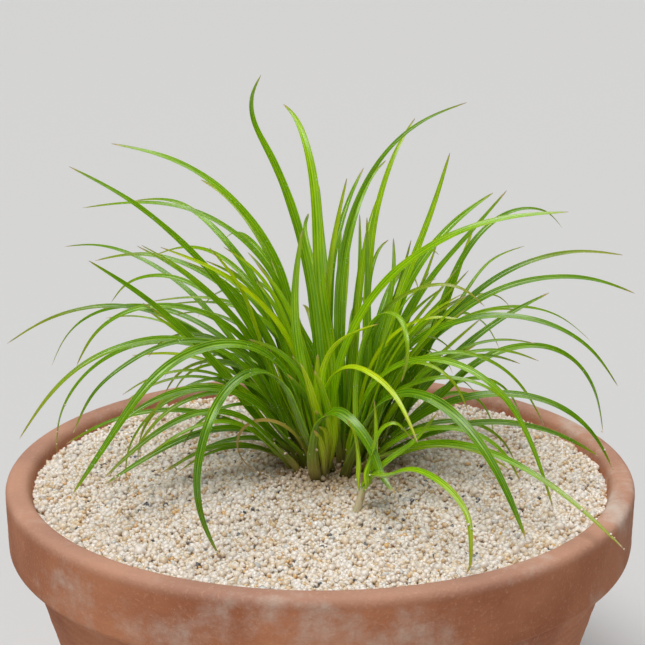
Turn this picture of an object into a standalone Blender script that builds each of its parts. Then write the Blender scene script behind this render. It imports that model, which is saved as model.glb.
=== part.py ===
"""A potted Vietnam pipewort: one grassy tuft with a small side shoot, in coarse sand, in a plain clay pot.

Metres, +Z up. The origin is the middle of the pot's underside. The plant faces -Y.
Lengths below are in millimetres and become metres when a mesh is made.
"""
import math

import bmesh
import bpy
import numpy as np

MM = 0.001
SHARP_ANGLE = 40.0

# The pot and its fill of sand
POT_HEIGHT = 61.0
RIM_RADIUS = 62.0
RIM_BAND = 13.0
RIM_STEP = 2.6
RIM_ROUND = 1.2
BAND_UNDERCUT = 1.2
BAND_DRAFT = 0.2
WALL = 4.4
FOOT_RADIUS = 45.0
FLOOR = 6.0
ROUND_PARTS = 40
GAP = 0.3
SAND_HEIGHT = 60.0
HEAP_HEIGHT = 1.8
HEAP_RADIUS = 24.0
HOLLOW_DEPTH = 0.35
HOLLOW_LENGTH = 9.0
HOLLOW_WIDTH = 7.5
HOLLOW_CLEAR = 18.0
SHOULDER_DROP = 0.6
SAND_RINGS = (9.0, 18.0, 29.0, 43.0)

# The clump: where its middle stands, and how far out its rings of feet are
CLUMP_X = 3.4
CLUMP_Y = 2.5
CLUMP_DEPTH = 0.95
FOOT_LIFT = 0.65
HEART_RADIUS = 2.6
HEART_HEIGHT = 2.3
TILES_ROUND = 7
# The five rings of points on a crown, as shares of its radius and height
CROWN_RINGS = ((0.34, 1.0), (0.56, 0.86), (0.78, 0.64), (1.0, 0.30), (1.0, 0.0))

# A blade: how it narrows from its sheath to its tip, and how thick it is
LEAST_RINGS = 2.6
RING_LENGTH = 21.0
RING_TURN = 42.0
BEND_WEIGHT = 0.35
SHEATH_FLARE = 0.1
SHEATH_LENGTH = 7.0
TAPER_START = 3.2
TAPER_POWER = 0.75
KEEL_SHARE = 0.22
CHANNEL_SHARE = 0.06
EDGE_LIFT = 0.10
SHEATH_THICKNESS = 0.35
KEEL_THICKNESS = 0.08
CHANNEL_THICKNESS = 0.05
TWIST = 14.0
ROLL = 42.0
ROLL_REACH = 14.0

# Easing neighbouring blades apart
PATH_POINTS = 28
EASE_ROUNDS = 80
EASE_GAP = 0.35
EASE_GAIN = 1.5
HELD_FOOT = 5.5
NEAR = 3.6
STILL_POINTS = 4
LEAST_THICKNESS = 0.2
THICKNESS_SHARE = 0.25
LEAST_OFFSET = 0.15
LEAST_REACH = 0.3
RIM_REACH = 0.8
SAND_CLEARANCE = 0.7
RIM_CLEARANCE = 0.9
LIFT_GAIN = 0.7

# One blade a row: its foot's distance from the clump's middle and place round it, its heading, its slopes at
# the foot, half way and at the tip, its length and width, and where its bend sits (above 1 is nearer the tip).
# Angles are in degrees. The blades that show in the photograph were sized on it, and the back ones follow them.
TALL_BLADES = (
    (1.9, 170, 168, 88, 70, 130, 80, 2.2, 3.0),
    (2.2, 100, 115, 77, 77, 7, 78, 2.1, 1.5),
    (1.9, 10, 17, 87, 86, 13, 83, 1.6, 0.8),
    (2.2, 280, 354, 96, 36, 3, 79, 2.1, 1.45),
    (6.4, 115, 172, 87, 34, 3, 84, 2.1, 2.4),
    (6.4, 25, 45, 80, 80, 38, 72, 1.7, 1.1),
    (6.4, 205, 304, 94, -4, -40, 54, 1.6, 1.65),
    (6.4, 295, 294, 92, 60, -118, 60, 1.6, 1.3),
)
ARCHING_BLADES = (
    (8.6, 128, 151, 54, 40, -16, 77, 1.4, 0.9),
    (9.7, 143, 165, 97, 18, -8, 85, 1.4, 1.85),
    (8.6, 158, 165, 72, 34, -64, 63, 1.4, 1.4),
    (9.7, 173, 168, 92, 31, -21, 68, 1.6, 1.5),
    (8.6, 188, 185, 93, 58, 28, 78, 2.1, 0.85),
    (9.7, 203, 198, 70, 53, 34, 60, 2.1, 1.0),
    (8.6, 295, 329, 96, -31, -63, 74, 1.6, 1.55),
    (9.7, 345, 344, 93, 90, -44, 58, 1.2, 0.65),
    (8.6, 3, 13, 87, 48, 53, 63, 1.6, 2.2),
    (9.7, 17, 24, 58, 57, -59, 73, 1.6, 1.4),
    (8.6, 31, 28, 92, 67, 75, 64, 1.9, 1.3),
    (9.7, 47, 34, 76, 60, 19, 64, 2.1, 1.1),
    (8.6, 60, 62, 86, 52, -20, 70, 2.0, 1.2),
    (9.7, 74, 80, 84, 40, -45, 68, 1.9, 1.1),
    (8.6, 88, 98, 84, 48, -10, 74, 2.1, 1.2),
    (9.7, 102, 118, 86, 46, -30, 72, 1.8, 1.0),
    (8.6, 115, 136, 84, 50, 10, 70, 1.9, 1.3),
)
LOW_BLADES = (
    (10.8, 128, 158, 64, 9, -70, 77, 1.3, 1.15),
    (11.9, 139, 182, 81, 2, -95, 75, 1.2, 1.0),
    (10.8, 150, 181, 64, -5, -38, 74, 1.3, 2.2),
    (11.9, 161, 186, 46, -3, -33, 48, 1.3, 1.3),
    (10.8, 172, 186, 96, 22, -71, 69, 1.5, 1.2),
    (11.9, 183, 198, 96, -1, -59, 78, 1.7, 1.2),
    (10.8, 194, 199, 90, -3, -28, 43, 1.6, 0.85),
    (11.9, 208, 207, 89, -20, -68, 70, 1.3, 1.8),
    (10.8, 213, 209, 80, 6, -34, 50, 2.0, 1.4),
    (11.9, 222, 214, 72, -10, -34, 51, 1.6, 1.5),
    (10.8, 229, 212, 97, -34, -41, 82, 2.3, 1.7),
    (11.9, 246, 244, 72, -66, -119, 79, 2.1, 2.25),
    (10.8, 257, 309, 97, -42, -7, 39, 2.7, 1.9),
    (11.9, 292, 312, 97, -23, -48, 66, 2.4, 1.35),
    (10.8, 307, 318, 55, -3, -32, 63, 1.6, 1.0),
    (11.9, 320, 347, 96, 82, -60, 77, 1.6, 0.4),
    (10.8, 333, 348, 90, 15, -66, 61, 1.8, 0.8),
    (11.9, 345, 351, 68, 21, -34, 45, 1.5, 0.6),
    (10.8, 357, 2, 90, 28, -27, 72, 1.6, 1.25),
    (11.9, 9, 9, 57, -47, -80, 68, 1.6, 2.4),
    (10.8, 21, 7, 81, 40, -13, 71, 1.6, 1.1),
    (11.9, 33, 18, 65, 40, 19, 49, 1.8, 1.0),
    (10.8, 50, 50, 78, 10, -60, 64, 1.6, 1.1),
    (11.9, 68, 72, 70, 22, -50, 66, 1.7, 1.2),
    (10.8, 86, 96, 80, 8, -70, 62, 1.6, 1.0),
    (11.9, 106, 124, 74, 16, -55, 68, 1.7, 1.1),
    (12.6, 237, 180, 92, -100, -159, 36, 1.0, 2.05),
)

# The four crowns: name, distance from the clump's middle and place round it, length and lean of a leaf at the
# middle, how much both grow with each millimetre out from it, and the seed of its small differences
CROWNS = (
    ("heart_left", 5.1, 160, 44.0, 1.5, 3.0, 4.6, 3),
    ("heart_front", 5.7, 250, 27.0, -0.8, 3.0, 4.0, 11),
    ("heart_right", 5.1, 340, 42.0, 1.0, 3.0, 4.8, 5),
    ("heart_back", 5.1, 70, 48.0, 1.5, 3.0, 4.4, 8),
)
# The other crown leaves: how their headings and lengths vary, how much of the lean each of their three slopes
# takes with its own variation in degrees, and their widths and bends
HEADING_VARIES = (-8.0, 8.0)
LEAN_ALONG = ((0.55, (-2.0, 3.0)), (1.0, (-4.0, 8.0)), (2.0, (-10.0, 30.0)))
LENGTH_VARIES = (0.8, 1.2)
YOUNG_WIDTHS = (1.5, 2.1)
YOUNG_BENDS = (1.0, 1.5)
# Crown leaves whose run shows: heading, three slopes, length, width and bend as above
CROWN_BLADES = {
    "heart_left": (
        (145, 80, 50, -21, 75, 1.6, 1.2),
        (134, 84, 12, -26, 74, 1.5, 1.6),
        (192, 92, 42, 26, 59, 1.9, 1.7),
        (200, 76, 70, 39, 50, 1.8, 1.35),
        (175, 90, 15, -25, 40, 1.5, 1.9),
        (160, 56, 22, -17, 50, 1.3, 1.0),
    ),
    "heart_front": (
        (340, 90, 86, 8, 37, 1.6, 0.8),
        (200, 88, 82, 52, 25, 2.0, 1.0),
        (250, 82, 80, 80, 26, 1.7, 1.0),
        (190, 86, 70, 11, 32, 1.4, 0.9),
        (143, 82, 92, 92, 49, 1.8, 2.0),
    ),
    "heart_right": (
        (38, 60, 61, 60, 53, 1.8, 1.4),
        (14, 75, 47, 39, 40, 1.4, 1.0),
        (345, 90, 80, -17, 47, 1.5, 0.65),
        (326, 92, 60, -78, 48, 1.3, 0.7),
        (352, 84, -22, -66, 61, 1.3, 1.8),
        (66, 80, 88, 92, 55, 1.7, 1.5),
    ),
    "heart_back": (
        (112, 80, 88, 90, 58, 1.9, 1.5),
        (68, 92, 88, 10, 67, 1.8, 0.85),
        (61, 72, 70, -7, 48, 1.7, 1.9),
        (30, 62, 44, 2, 61, 1.4, 1.8),
        (30, 66, 13, -46, 75, 1.4, 1.0),
        (100, 76, 44, -15, 70, 1.6, 1.1),
        (122, 68, 22, -35, 66, 1.5, 1.1),
    ),
}

# The side shoot: its foot, then rows as above without the place round the clump
SHOOT_X = 7.3
SHOOT_Y = -19.5
SHOOT_RADIUS = 1.35
SHOOT_HEIGHT = 3.4
SHOOT_LEAF_GAP = 0.9
SHOOT_LEAF_ASIDE = 0.8
SHOOT_BLADES = (
    (176, 88, 84, 40, 16, 1.3, 1.0),
    (352, 80, 52, -48, 22, 1.4, 1.6),
    (40, 76, 68, 40, 18, 1.3, 1.0),
    (8, 62, 48, 40, 25, 1.5, 1.0),
)
SHOOT_LONG_BLADE = (297, 53, -8, -104, 50, 1.5, 1.3)

# Colours: blades, the one dead blade, young blades, the side shoot, sand and clay, then their roughness
LEAF_GREEN = (0.09, 0.22, 0.015)
DRY_BROWN = (0.36, 0.22, 0.08)
YOUNG_GREEN = (0.22, 0.40, 0.02)
PALE_GREEN = (0.30, 0.38, 0.10)
SAND_COLOUR = (0.62, 0.50, 0.36)
CLAY_COLOUR = (0.46, 0.19, 0.10)
LEAF_ROUGHNESS = 0.4
GROUND_ROUGHNESS = 0.88
DEAD_BLADE = "low_leaf_27"


def clear_scene():
    """Remove every object that the scene starts with."""
    for thing in list(bpy.data.objects):
        bpy.data.objects.remove(thing, do_unlink=True)


def finish(name, colour, roughness):
    """One Principled material."""
    material = bpy.data.materials.new(name)
    material.use_nodes = True
    shader = material.node_tree.nodes["Principled BSDF"]
    shader.inputs["Base Color"].default_value = (*colour, 1.0)
    shader.inputs["Roughness"].default_value = roughness
    shader.inputs["Metallic"].default_value = 0.0
    return material


def add_piece(name, points, faces, colour, roughness):
    """Make one closed mesh object from points in millimetres, with its faces pointing out."""
    mesh = bpy.data.meshes.new(name)
    mesh.from_pydata((np.asarray(points) * MM).tolist(), [], faces)
    shell = bmesh.new()
    shell.from_mesh(mesh)
    bmesh.ops.triangulate(shell, faces=shell.faces[:])
    bmesh.ops.recalc_face_normals(shell, faces=shell.faces[:])
    shell.to_mesh(mesh)
    shell.free()
    mesh.shade_smooth()
    mesh.set_sharp_from_angle(angle=math.radians(SHARP_ANGLE))
    piece = bpy.data.objects.new(name, mesh)
    piece.data.materials.append(finish(name, colour, roughness))
    bpy.context.collection.objects.link(piece)
    return piece


def turned(profile, lift=None):
    """Turn a profile of (radius, height) about Z; it starts and ends on the axis. Returns points and faces."""
    points = [(0.0, 0.0, profile[0][1])]
    for radius, height in profile[1:-1]:
        for part in range(ROUND_PARTS):
            angle = 2.0 * math.pi * part / ROUND_PARTS
            x, y = radius * math.cos(angle), radius * math.sin(angle)
            points.append((x, y, height if lift is None else lift(x, y, height)))
    points.append((0.0, 0.0, profile[-1][1] if lift is None else lift(0.0, 0.0, profile[-1][1])))
    faces = []
    for part in range(ROUND_PARTS):
        after = (part + 1) % ROUND_PARTS
        faces.append((0, 1 + after, 1 + part))
        for ring in range(len(profile) - 3):
            low = 1 + ring * ROUND_PARTS
            high = low + ROUND_PARTS
            faces.append((low + part, low + after, high + after, high + part))
        last = 1 + (len(profile) - 3) * ROUND_PARTS
        faces.append((last + part, last + after, len(points) - 1))
    return points, faces


def wall_inside(height):
    """The pot's inner radius at a height: a straight taper from the floor to the brim."""
    share = (height - FLOOR) / (POT_HEIGHT - FLOOR)
    return (FOOT_RADIUS - WALL) + share * (RIM_RADIUS - FOOT_RADIUS)


def sand_top(x, y):
    """Height of the sand: a low heap round the clump, with a few shallow hollows."""
    away = math.hypot(x - CLUMP_X, y - CLUMP_Y)
    heap = HEAP_HEIGHT * (math.exp(-(away / HEAP_RADIUS) ** 2) - 1.0)
    hollows = HOLLOW_DEPTH * math.sin(x / HOLLOW_LENGTH + 0.6) * math.cos(y / HOLLOW_WIDTH)
    return SAND_HEIGHT + heap + hollows * (1.0 - math.exp(-(away / HOLLOW_CLEAR) ** 2))


def make_pot():
    """A thrown clay pot: flat foot, straight taper, a plain rim band with rounded edges."""
    band = POT_HEIGHT - RIM_BAND
    body_top = RIM_RADIUS - RIM_STEP
    profile = [
        (0.0, 0.0),
        (FOOT_RADIUS - RIM_ROUND, 0.0),
        (FOOT_RADIUS, RIM_ROUND),
        (body_top - BAND_UNDERCUT, band - RIM_ROUND),
        (RIM_RADIUS - RIM_ROUND, band),
        (RIM_RADIUS - BAND_DRAFT, band + RIM_ROUND),
        (RIM_RADIUS, POT_HEIGHT - RIM_ROUND),
        (RIM_RADIUS - RIM_ROUND, POT_HEIGHT),
        (wall_inside(POT_HEIGHT) + RIM_ROUND, POT_HEIGHT),
        (wall_inside(POT_HEIGHT - RIM_ROUND), POT_HEIGHT - RIM_ROUND),
        (wall_inside(FLOOR), FLOOR),
        (0.0, FLOOR),
    ]
    points, faces = turned(profile)
    add_piece("pot", points, faces, CLAY_COLOUR, GROUND_ROUGHNESS)


def make_sand():
    """The fill of sand, clear of the pot by a small gap, with its low heap."""
    bottom = FLOOR + GAP
    shoulder = SAND_HEIGHT - HEAP_HEIGHT - SHOULDER_DROP
    edge = wall_inside(shoulder) - GAP
    profile = [(0.0, bottom), (wall_inside(bottom) - GAP, bottom), (edge, shoulder)]
    profile += [(radius, None) for radius in reversed(SAND_RINGS)]
    profile.append((0.0, None))

    def lift(x, y, height):
        return sand_top(x, y) if height is None else height

    points, faces = turned(profile, lift)
    add_piece("sand", points, faces, SAND_COLOUR, GROUND_ROUGHNESS)


def blade_path(row, foot):
    """Centre line of a blade in the upright plane of its heading.

    The slope runs smoothly through the three given slopes; bend moves the middle one along the blade.
    """
    heading, root, middle, tip, length, _, bend = row
    share = (np.arange(PATH_POINTS - 1) + 0.5) / (PATH_POINTS - 1)
    place = share ** bend
    slope = root * (1 - place) * (1 - 2 * place) + 4 * middle * place * (1 - place)
    slope += tip * place * (2 * place - 1)
    step = length / (PATH_POINTS - 1)
    out = np.concatenate([[0.0], np.cumsum(np.cos(np.radians(slope)))]) * step
    up = np.concatenate([[0.0], np.cumsum(np.sin(np.radians(slope)))]) * step
    turn = math.radians(heading)
    return np.stack([foot[0] + out * math.cos(turn), foot[1] + out * math.sin(turn), foot[2] + up], axis=1)


def clump_foot(distance, place):
    """A foot's place at a distance from the clump's middle, just clear of the sand."""
    x = CLUMP_X + distance * math.cos(math.radians(place))
    y = CLUMP_Y + distance * math.sin(math.radians(place)) * CLUMP_DEPTH
    return np.array([x, y, sand_top(x, y) + FOOT_LIFT])


def crown_lattice(middle, radius, height, sides):
    """Points of a low crown whose sides are diamonds, one for each young leaf.

    Four rings of points widen and sink from the top, each turned half a step from the last, so that three
    neighbouring rings bound diamonds. A fifth ring is the crown's flat underside.
    """
    rings = []
    for ring, (wide, high) in enumerate(CROWN_RINGS):
        turn = (min(ring, 3) % 2) * 0.5
        angle = 2.0 * math.pi * (np.arange(sides) + turn) / sides
        reach = radius * wide
        level = np.full(sides, height * high)
        rings.append(middle + np.stack([reach * np.cos(angle), reach * np.sin(angle), level], axis=1))
    return np.concatenate(rings)


def crown_faces(sides):
    """Faces of the crown: two rows of diamonds (left, outer, right, inner corner), then all the rest."""
    def corner(ring, index):
        return ring * sides + index % sides

    diamonds, rest = [], []
    for j in range(sides):
        diamonds.append((corner(1, j), corner(2, j), corner(1, j - 1), corner(0, j)))
        rest.append((corner(0, j), corner(1, j), corner(0, j + 1)))
        rest.append((corner(2, j), corner(3, j - 1), corner(3, j)))
        rest.append((corner(3, j), corner(3, j - 1), corner(4, j - 1), corner(4, j)))
    for j in range(sides):
        diamonds.append((corner(2, j + 1), corner(3, j), corner(2, j), corner(1, j)))
    rest.append(tuple(corner(0, j) for j in range(sides)))
    rest.append(tuple(corner(4, j) for j in reversed(range(sides))))
    return diamonds, rest


def blade_width(distance, length, width):
    """Blade width along its length: a flared sheath, a long even blade, and a drawn-out point."""
    share = distance / length
    body = np.clip(1.0 - share ** TAPER_START, 0.0, 1.0) ** TAPER_POWER
    return width * (body + SHEATH_FLARE * np.exp(-distance / SHEATH_LENGTH))


def blade_frame(path, heading, twist):
    """Unit vectors along a blade, across it and square to its face, at each point of its path.

    The sheath stands square to the heading. Past it the blade rolls so that its face turns to the light at the
    front, most where it runs sideways, and it twists a little more towards its tip.
    """
    steps = np.linalg.norm(np.diff(path, axis=0), axis=1)
    walked = np.concatenate([[0.0], np.cumsum(steps)])
    ahead = np.gradient(path, axis=0)
    ahead /= np.linalg.norm(ahead, axis=1)[:, None]
    turn = math.radians(heading)
    side = np.tile([-math.sin(turn), math.cos(turn), 0.0], (len(path), 1))
    side -= (ahead * side).sum(axis=1)[:, None] * ahead
    side /= np.linalg.norm(side, axis=1)[:, None]
    face = np.cross(ahead, side)
    roll = ROLL * math.cos(turn) * np.clip(walked / ROLL_REACH, 0.0, 1.0) ** 2
    roll = np.radians(roll + twist * (walked / walked[-1]) ** 2)[:, None]
    return ahead, side * np.cos(roll) + face * np.sin(roll), face * np.cos(roll) - side * np.sin(roll)


def blade_sections(path, heading, width, twist):
    """Diamond sections (left edge, keel, right edge, channel) along a path, and the tip point."""
    steps = np.diff(path, axis=0)
    lengths = np.linalg.norm(steps, axis=1)
    walked = np.concatenate([[0.0], np.cumsum(lengths)])
    ways = steps / lengths[:, None]
    turns = np.arccos(np.clip((ways[1:] * ways[:-1]).sum(axis=1), -1.0, 1.0))
    turns = np.concatenate([[0.0], turns]) + np.concatenate([turns, [0.0]])
    weight = np.concatenate([[0.0], np.cumsum(lengths / walked[-1] + BEND_WEIGHT * turns)])
    rings = round(LEAST_RINGS + walked[-1] / RING_LENGTH + math.degrees(turns.sum() / 2.0) / RING_TURN)
    at = np.interp(np.linspace(0.0, weight[-1], rings + 1)[:-1], weight, walked)

    def taken(values):
        return np.stack([np.interp(at, walked, values[:, axis]) for axis in range(3)], axis=1)

    _, side, face = blade_frame(path, heading, twist)
    centre, side, face = taken(path), taken(side), taken(face)
    across = blade_width(at, walked[-1], width)[:, None]
    thick = (SHEATH_THICKNESS * np.exp(-at / SHEATH_LENGTH))[:, None]
    left = centre + side * across / 2 + face * across * EDGE_LIFT
    right = centre - side * across / 2 + face * across * EDGE_LIFT
    keel = centre - face * (across * KEEL_SHARE / 2 + thick / 2 + KEEL_THICKNESS)
    channel = centre + face * (across * CHANNEL_SHARE / 2 + thick / 2 + CHANNEL_THICKNESS)
    return np.stack([left, keel, right, channel], axis=1), path[-1]


def grow_blade(points, faces, root, sections, tip):
    """Add a blade to a mesh: walls from the root's four corners through each section to the tip."""
    corners = list(root)
    for section in sections:
        first = len(points)
        points.extend(section.tolist())
        ring = [first, first + 1, first + 2, first + 3]
        faces.extend((corners[k], corners[(k + 1) % 4], ring[(k + 1) % 4], ring[k]) for k in range(4))
        corners = ring
    points.append(tip.tolist())
    faces.extend((corners[k], corners[(k + 1) % 4], len(points) - 1) for k in range(4))


def crown_leaves(middle, corners, diamonds, crown):
    """Every young leaf of one crown: its diamond, its foot and its row.

    The leaves with a row of their own take the diamonds that face their way. The rest follow a rule: near the
    clump's middle they stand up, and further out they are longer and lean further.
    """
    name, _, _, length, growth, lean, spread, seed = crown
    pick = np.random.default_rng(seed)
    feet = {diamond: corners[list(diamond)].mean(axis=0) for diamond in diamonds}
    free = list(diamonds)
    leaves = []
    for row in CROWN_BLADES[name]:
        turn = math.radians(row[0])
        aim = np.array([math.cos(turn), math.sin(turn)])
        best = max(free, key=lambda diamond: float((feet[diamond] - middle)[:2] @ aim))
        free.remove(best)
        leaves.append((best, feet[best], row))
    for diamond in free:
        x, y = feet[diamond][0] - CLUMP_X, (feet[diamond][1] - CLUMP_Y) / CLUMP_DEPTH
        away = math.hypot(x, y)
        heading = math.degrees(math.atan2(y, x)) + pick.uniform(*HEADING_VARIES)
        slopes = [90.0 - lean - share * spread * away - pick.uniform(*varies) for share, varies in LEAN_ALONG]
        long = length * pick.uniform(*LENGTH_VARIES) + growth * away
        row = (heading, *slopes, long, pick.uniform(*YOUNG_WIDTHS), pick.uniform(*YOUNG_BENDS))
        leaves.append((diamond, feet[diamond], row))
    return leaves


class Blade:
    """One blade while the clump is eased apart: its node, its root on a crown, its path, width and twist."""

    def __init__(self, owner, root, row, foot, twist):
        self.owner = owner
        self.root = root
        self.heading = row[0]
        self.length = row[4]
        self.width = row[5]
        self.twist = twist
        self.path = blade_path(row, foot)
        self.rank = -math.hypot(foot[0] - CLUMP_X, foot[1] - CLUMP_Y)


def smoothed(values):
    """Each row averaged with its neighbours, one to two to one."""
    padded = np.concatenate([values[:1], values, values[-1:]])
    return (padded[:-2] + 2.0 * values + padded[2:]) / 4.0


def ease_apart(blades):
    """Push crossing blades apart, square to their faces first, keeping feet still and curves smooth.

    Two points clash where they lie inside an ellipse as wide as both blades and as thick as both. Each blade
    takes half of the push that clears the ellipse, and the pushes are averaged along the blade.
    """
    share = np.linspace(0.0, 1.0, PATH_POINTS)
    widths = np.array([blade_width(share * b.length, b.length, b.width) for b in blades])
    thicks = widths * THICKNESS_SHARE + LEAST_THICKNESS + SHEATH_THICKNESS * np.exp(
        -share[None, :] * np.array([[b.length] for b in blades]) / SHEATH_LENGTH)
    free = np.array([np.clip(share * b.length / HELD_FOOT, 0.0, 1.0) ** 1.5 for b in blades])
    ranks = np.array([b.rank for b in blades])
    steps = np.array([b.length / (PATH_POINTS - 1) for b in blades])
    for _ in range(EASE_ROUNDS):
        paths = np.array([b.path for b in blades])
        pushes = np.zeros_like(paths)
        for i, blade in enumerate(blades):
            ahead, side, face = blade_frame(blade.path, blade.heading, blade.twist)
            away = paths[None, :, :, :] - paths[i][:, None, None, :]
            near = (away ** 2).sum(axis=3) < NEAR ** 2
            near[:, i, :] = False
            at, other, point = np.nonzero(near)
            if len(at) == 0:
                continue
            gap = away[at, other, point]
            along = (gap * ahead[at]).sum(axis=1)
            across = (gap * side[at]).sum(axis=1)
            square = (gap * face[at]).sum(axis=1)
            wide = (widths[i, at] + widths[other, point]) / 2 + EASE_GAP
            thick = (thicks[i, at] + thicks[other, point]) / 2 + EASE_GAP
            reach = np.hypot(across / wide, square / thick)
            clash = (reach < 1.0) & (np.abs(along) < steps[i])
            if not clash.any():
                continue
            at, other = at[clash], other[clash]
            across, square, reach = across[clash], square[clash], reach[clash]
            wide, thick = wide[clash], thick[clash]
            order = np.sign(ranks[other] - ranks[i])
            square = np.where(np.abs(square) < LEAST_OFFSET, LEAST_OFFSET * order, square)
            slope = np.stack([across / wide ** 2, square / thick ** 2], axis=1)
            size = np.maximum(np.linalg.norm(slope, axis=1), 1e-6)
            amount = 0.5 * (1.0 - reach) * np.maximum(reach, LEAST_REACH) / size
            move = -(slope[:, :1] * side[at] + slope[:, 1:] * face[at]) / size[:, None] * amount[:, None]
            total = np.zeros((PATH_POINTS, 3))
            hits = np.zeros(PATH_POINTS)
            np.add.at(total, at, move)
            np.add.at(hits, at, 1.0)
            pushes[i] = total / np.maximum(hits, 1.0)[:, None]
        for i, blade in enumerate(blades):
            push = smoothed(smoothed(pushes[i])) * EASE_GAIN
            blade.path = blade.path + push * free[i][:, None]
            keep_above(blade)


def keep_above(blade):
    """Lift a path that would sink into the sand or the pot's rim."""
    for k in range(STILL_POINTS, PATH_POINTS):
        x, y, z = blade.path[k]
        radius = math.hypot(x, y)
        if radius < wall_inside(POT_HEIGHT) - RIM_REACH:
            floor = sand_top(x, y) + SAND_CLEARANCE
        elif radius < RIM_RADIUS + RIM_REACH:
            floor = POT_HEIGHT + RIM_CLEARANCE
        else:
            continue
        blade.path[k, 2] += max(floor - z, 0.0) * LIFT_GAIN


def plan_crowns():
    """The four crowns round the clump's middle: name, lattice points, diamonds, other faces and leaves."""
    plans = []
    for crown in CROWNS:
        middle = clump_foot(crown[1], crown[2])
        corners = crown_lattice(middle, HEART_RADIUS, HEART_HEIGHT, TILES_ROUND)
        diamonds, rest = crown_faces(TILES_ROUND)
        plans.append((crown[0], corners, diamonds, rest, crown_leaves(middle, corners, diamonds, crown)))
    return plans


def make_plant():
    """Plan every blade, ease them apart, then build the single blades, the crowns and the side shoot."""
    blades = []
    pick = np.random.default_rng(21)
    rings = (("tall_leaf_%d", TALL_BLADES), ("arching_leaf_%02d", ARCHING_BLADES), ("low_leaf_%02d", LOW_BLADES))
    for pattern, rows in rings:
        for number, (distance, place, *row) in enumerate(rows, start=1):
            foot = clump_foot(distance, place)
            blades.append(Blade(pattern % number, None, row, foot, pick.uniform(-TWIST, TWIST)))
    plans = plan_crowns()
    for name, _, _, _, leaves in plans:
        for diamond, foot, row in leaves:
            blades.append(Blade(name, diamond, row, foot, pick.uniform(-TWIST, TWIST)))

    shoot_foot = np.array([SHOOT_X, SHOOT_Y, sand_top(SHOOT_X, SHOOT_Y) + FOOT_LIFT])
    shoot_sides = len(SHOOT_BLADES)
    shoot_corners = crown_lattice(shoot_foot, SHOOT_RADIUS, SHOOT_HEIGHT, shoot_sides)
    shoot_diamonds, shoot_rest = crown_faces(shoot_sides)
    lower_row = shoot_diamonds[shoot_sides:]
    for row in SHOOT_BLADES:
        aim = np.array([math.cos(math.radians(row[0])), math.sin(math.radians(row[0]))])
        places = [shoot_corners[list(d)].mean(axis=0) for d in lower_row]
        best = max(range(len(lower_row)), key=lambda k: float((places[k] - shoot_foot)[:2] @ aim))
        blades.append(Blade("side_shoot", lower_row[best], row, places[best], 0.0))
        lower_row = lower_row[:best] + lower_row[best + 1:]
    long_foot = shoot_foot + np.array([SHOOT_LEAF_ASIDE, -SHOOT_RADIUS - SHOOT_LEAF_GAP, 0.0])
    blades.append(Blade("side_shoot_leaf", None, SHOOT_LONG_BLADE, long_foot, 0.0))

    ease_apart(blades)

    crowns = {name: (corners.tolist(), diamonds, list(rest)) for name, corners, diamonds, rest, _ in plans}
    crowns["side_shoot"] = (shoot_corners.tolist(), shoot_diamonds, list(shoot_rest))
    grown = {name: set() for name in crowns}
    for blade in blades:
        sections, tip = blade_sections(blade.path, blade.heading, blade.width, blade.twist)
        if blade.root is None:
            points, faces = sections[0].tolist(), [(3, 2, 1, 0)]
            grow_blade(points, faces, (0, 1, 2, 3), sections[1:], tip)
            colour = DRY_BROWN if blade.owner == DEAD_BLADE else LEAF_GREEN
            add_piece(blade.owner, points, faces, colour, LEAF_ROUGHNESS)
        else:
            points, _, faces = crowns[blade.owner]
            grow_blade(points, faces, blade.root, sections[1:], tip)
            grown[blade.owner].add(blade.root)
    for name, (points, diamonds, faces) in crowns.items():
        faces.extend(diamond for diamond in diamonds if diamond not in grown[name])
        colour = PALE_GREEN if name == "side_shoot" else YOUNG_GREEN
        add_piece(name, points, faces, colour, LEAF_ROUGHNESS)


clear_scene()
make_pot()
make_sand()
make_plant()
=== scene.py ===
"""A potted Vietnam pipewort: one grassy tuft and its side shoot in coarse quartz sand, in a plain clay pot.

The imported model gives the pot, the sand and the run of every leaf. This script turns the pot in fine clay,
pours the sand grain by grain and grows a finished blade along each leaf. Sizes are in millimetres, and a
mesh's are made metres.
"""
import math

import bpy
import numpy as np
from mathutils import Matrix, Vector
from numpy.linalg import norm


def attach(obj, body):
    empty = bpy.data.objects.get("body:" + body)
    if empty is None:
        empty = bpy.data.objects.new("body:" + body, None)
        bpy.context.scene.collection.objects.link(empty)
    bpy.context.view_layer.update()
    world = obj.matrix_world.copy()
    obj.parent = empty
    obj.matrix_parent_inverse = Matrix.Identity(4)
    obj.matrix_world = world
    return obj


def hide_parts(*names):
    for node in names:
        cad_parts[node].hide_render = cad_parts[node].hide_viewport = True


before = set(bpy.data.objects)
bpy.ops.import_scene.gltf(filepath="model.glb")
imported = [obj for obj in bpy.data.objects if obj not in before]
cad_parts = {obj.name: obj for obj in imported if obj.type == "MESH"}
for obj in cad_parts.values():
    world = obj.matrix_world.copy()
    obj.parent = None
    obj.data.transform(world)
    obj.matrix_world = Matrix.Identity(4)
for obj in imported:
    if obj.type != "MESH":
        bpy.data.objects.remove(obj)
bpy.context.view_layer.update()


# The clay pot
# A plain unglazed red clay pot, thrown on a wheel with a turned rim band. Fine throwing rings run round its
# wall, and lime from watering has dried pale on the rim and in patches lower down.
MM = 0.001
POT_HEIGHT = 61.0
RIM_RADIUS = 62.0
BRIM_RADIUS = 57.6
FLOOR_RADIUS = 40.6
POT_FLOOR = 6.0
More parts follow.
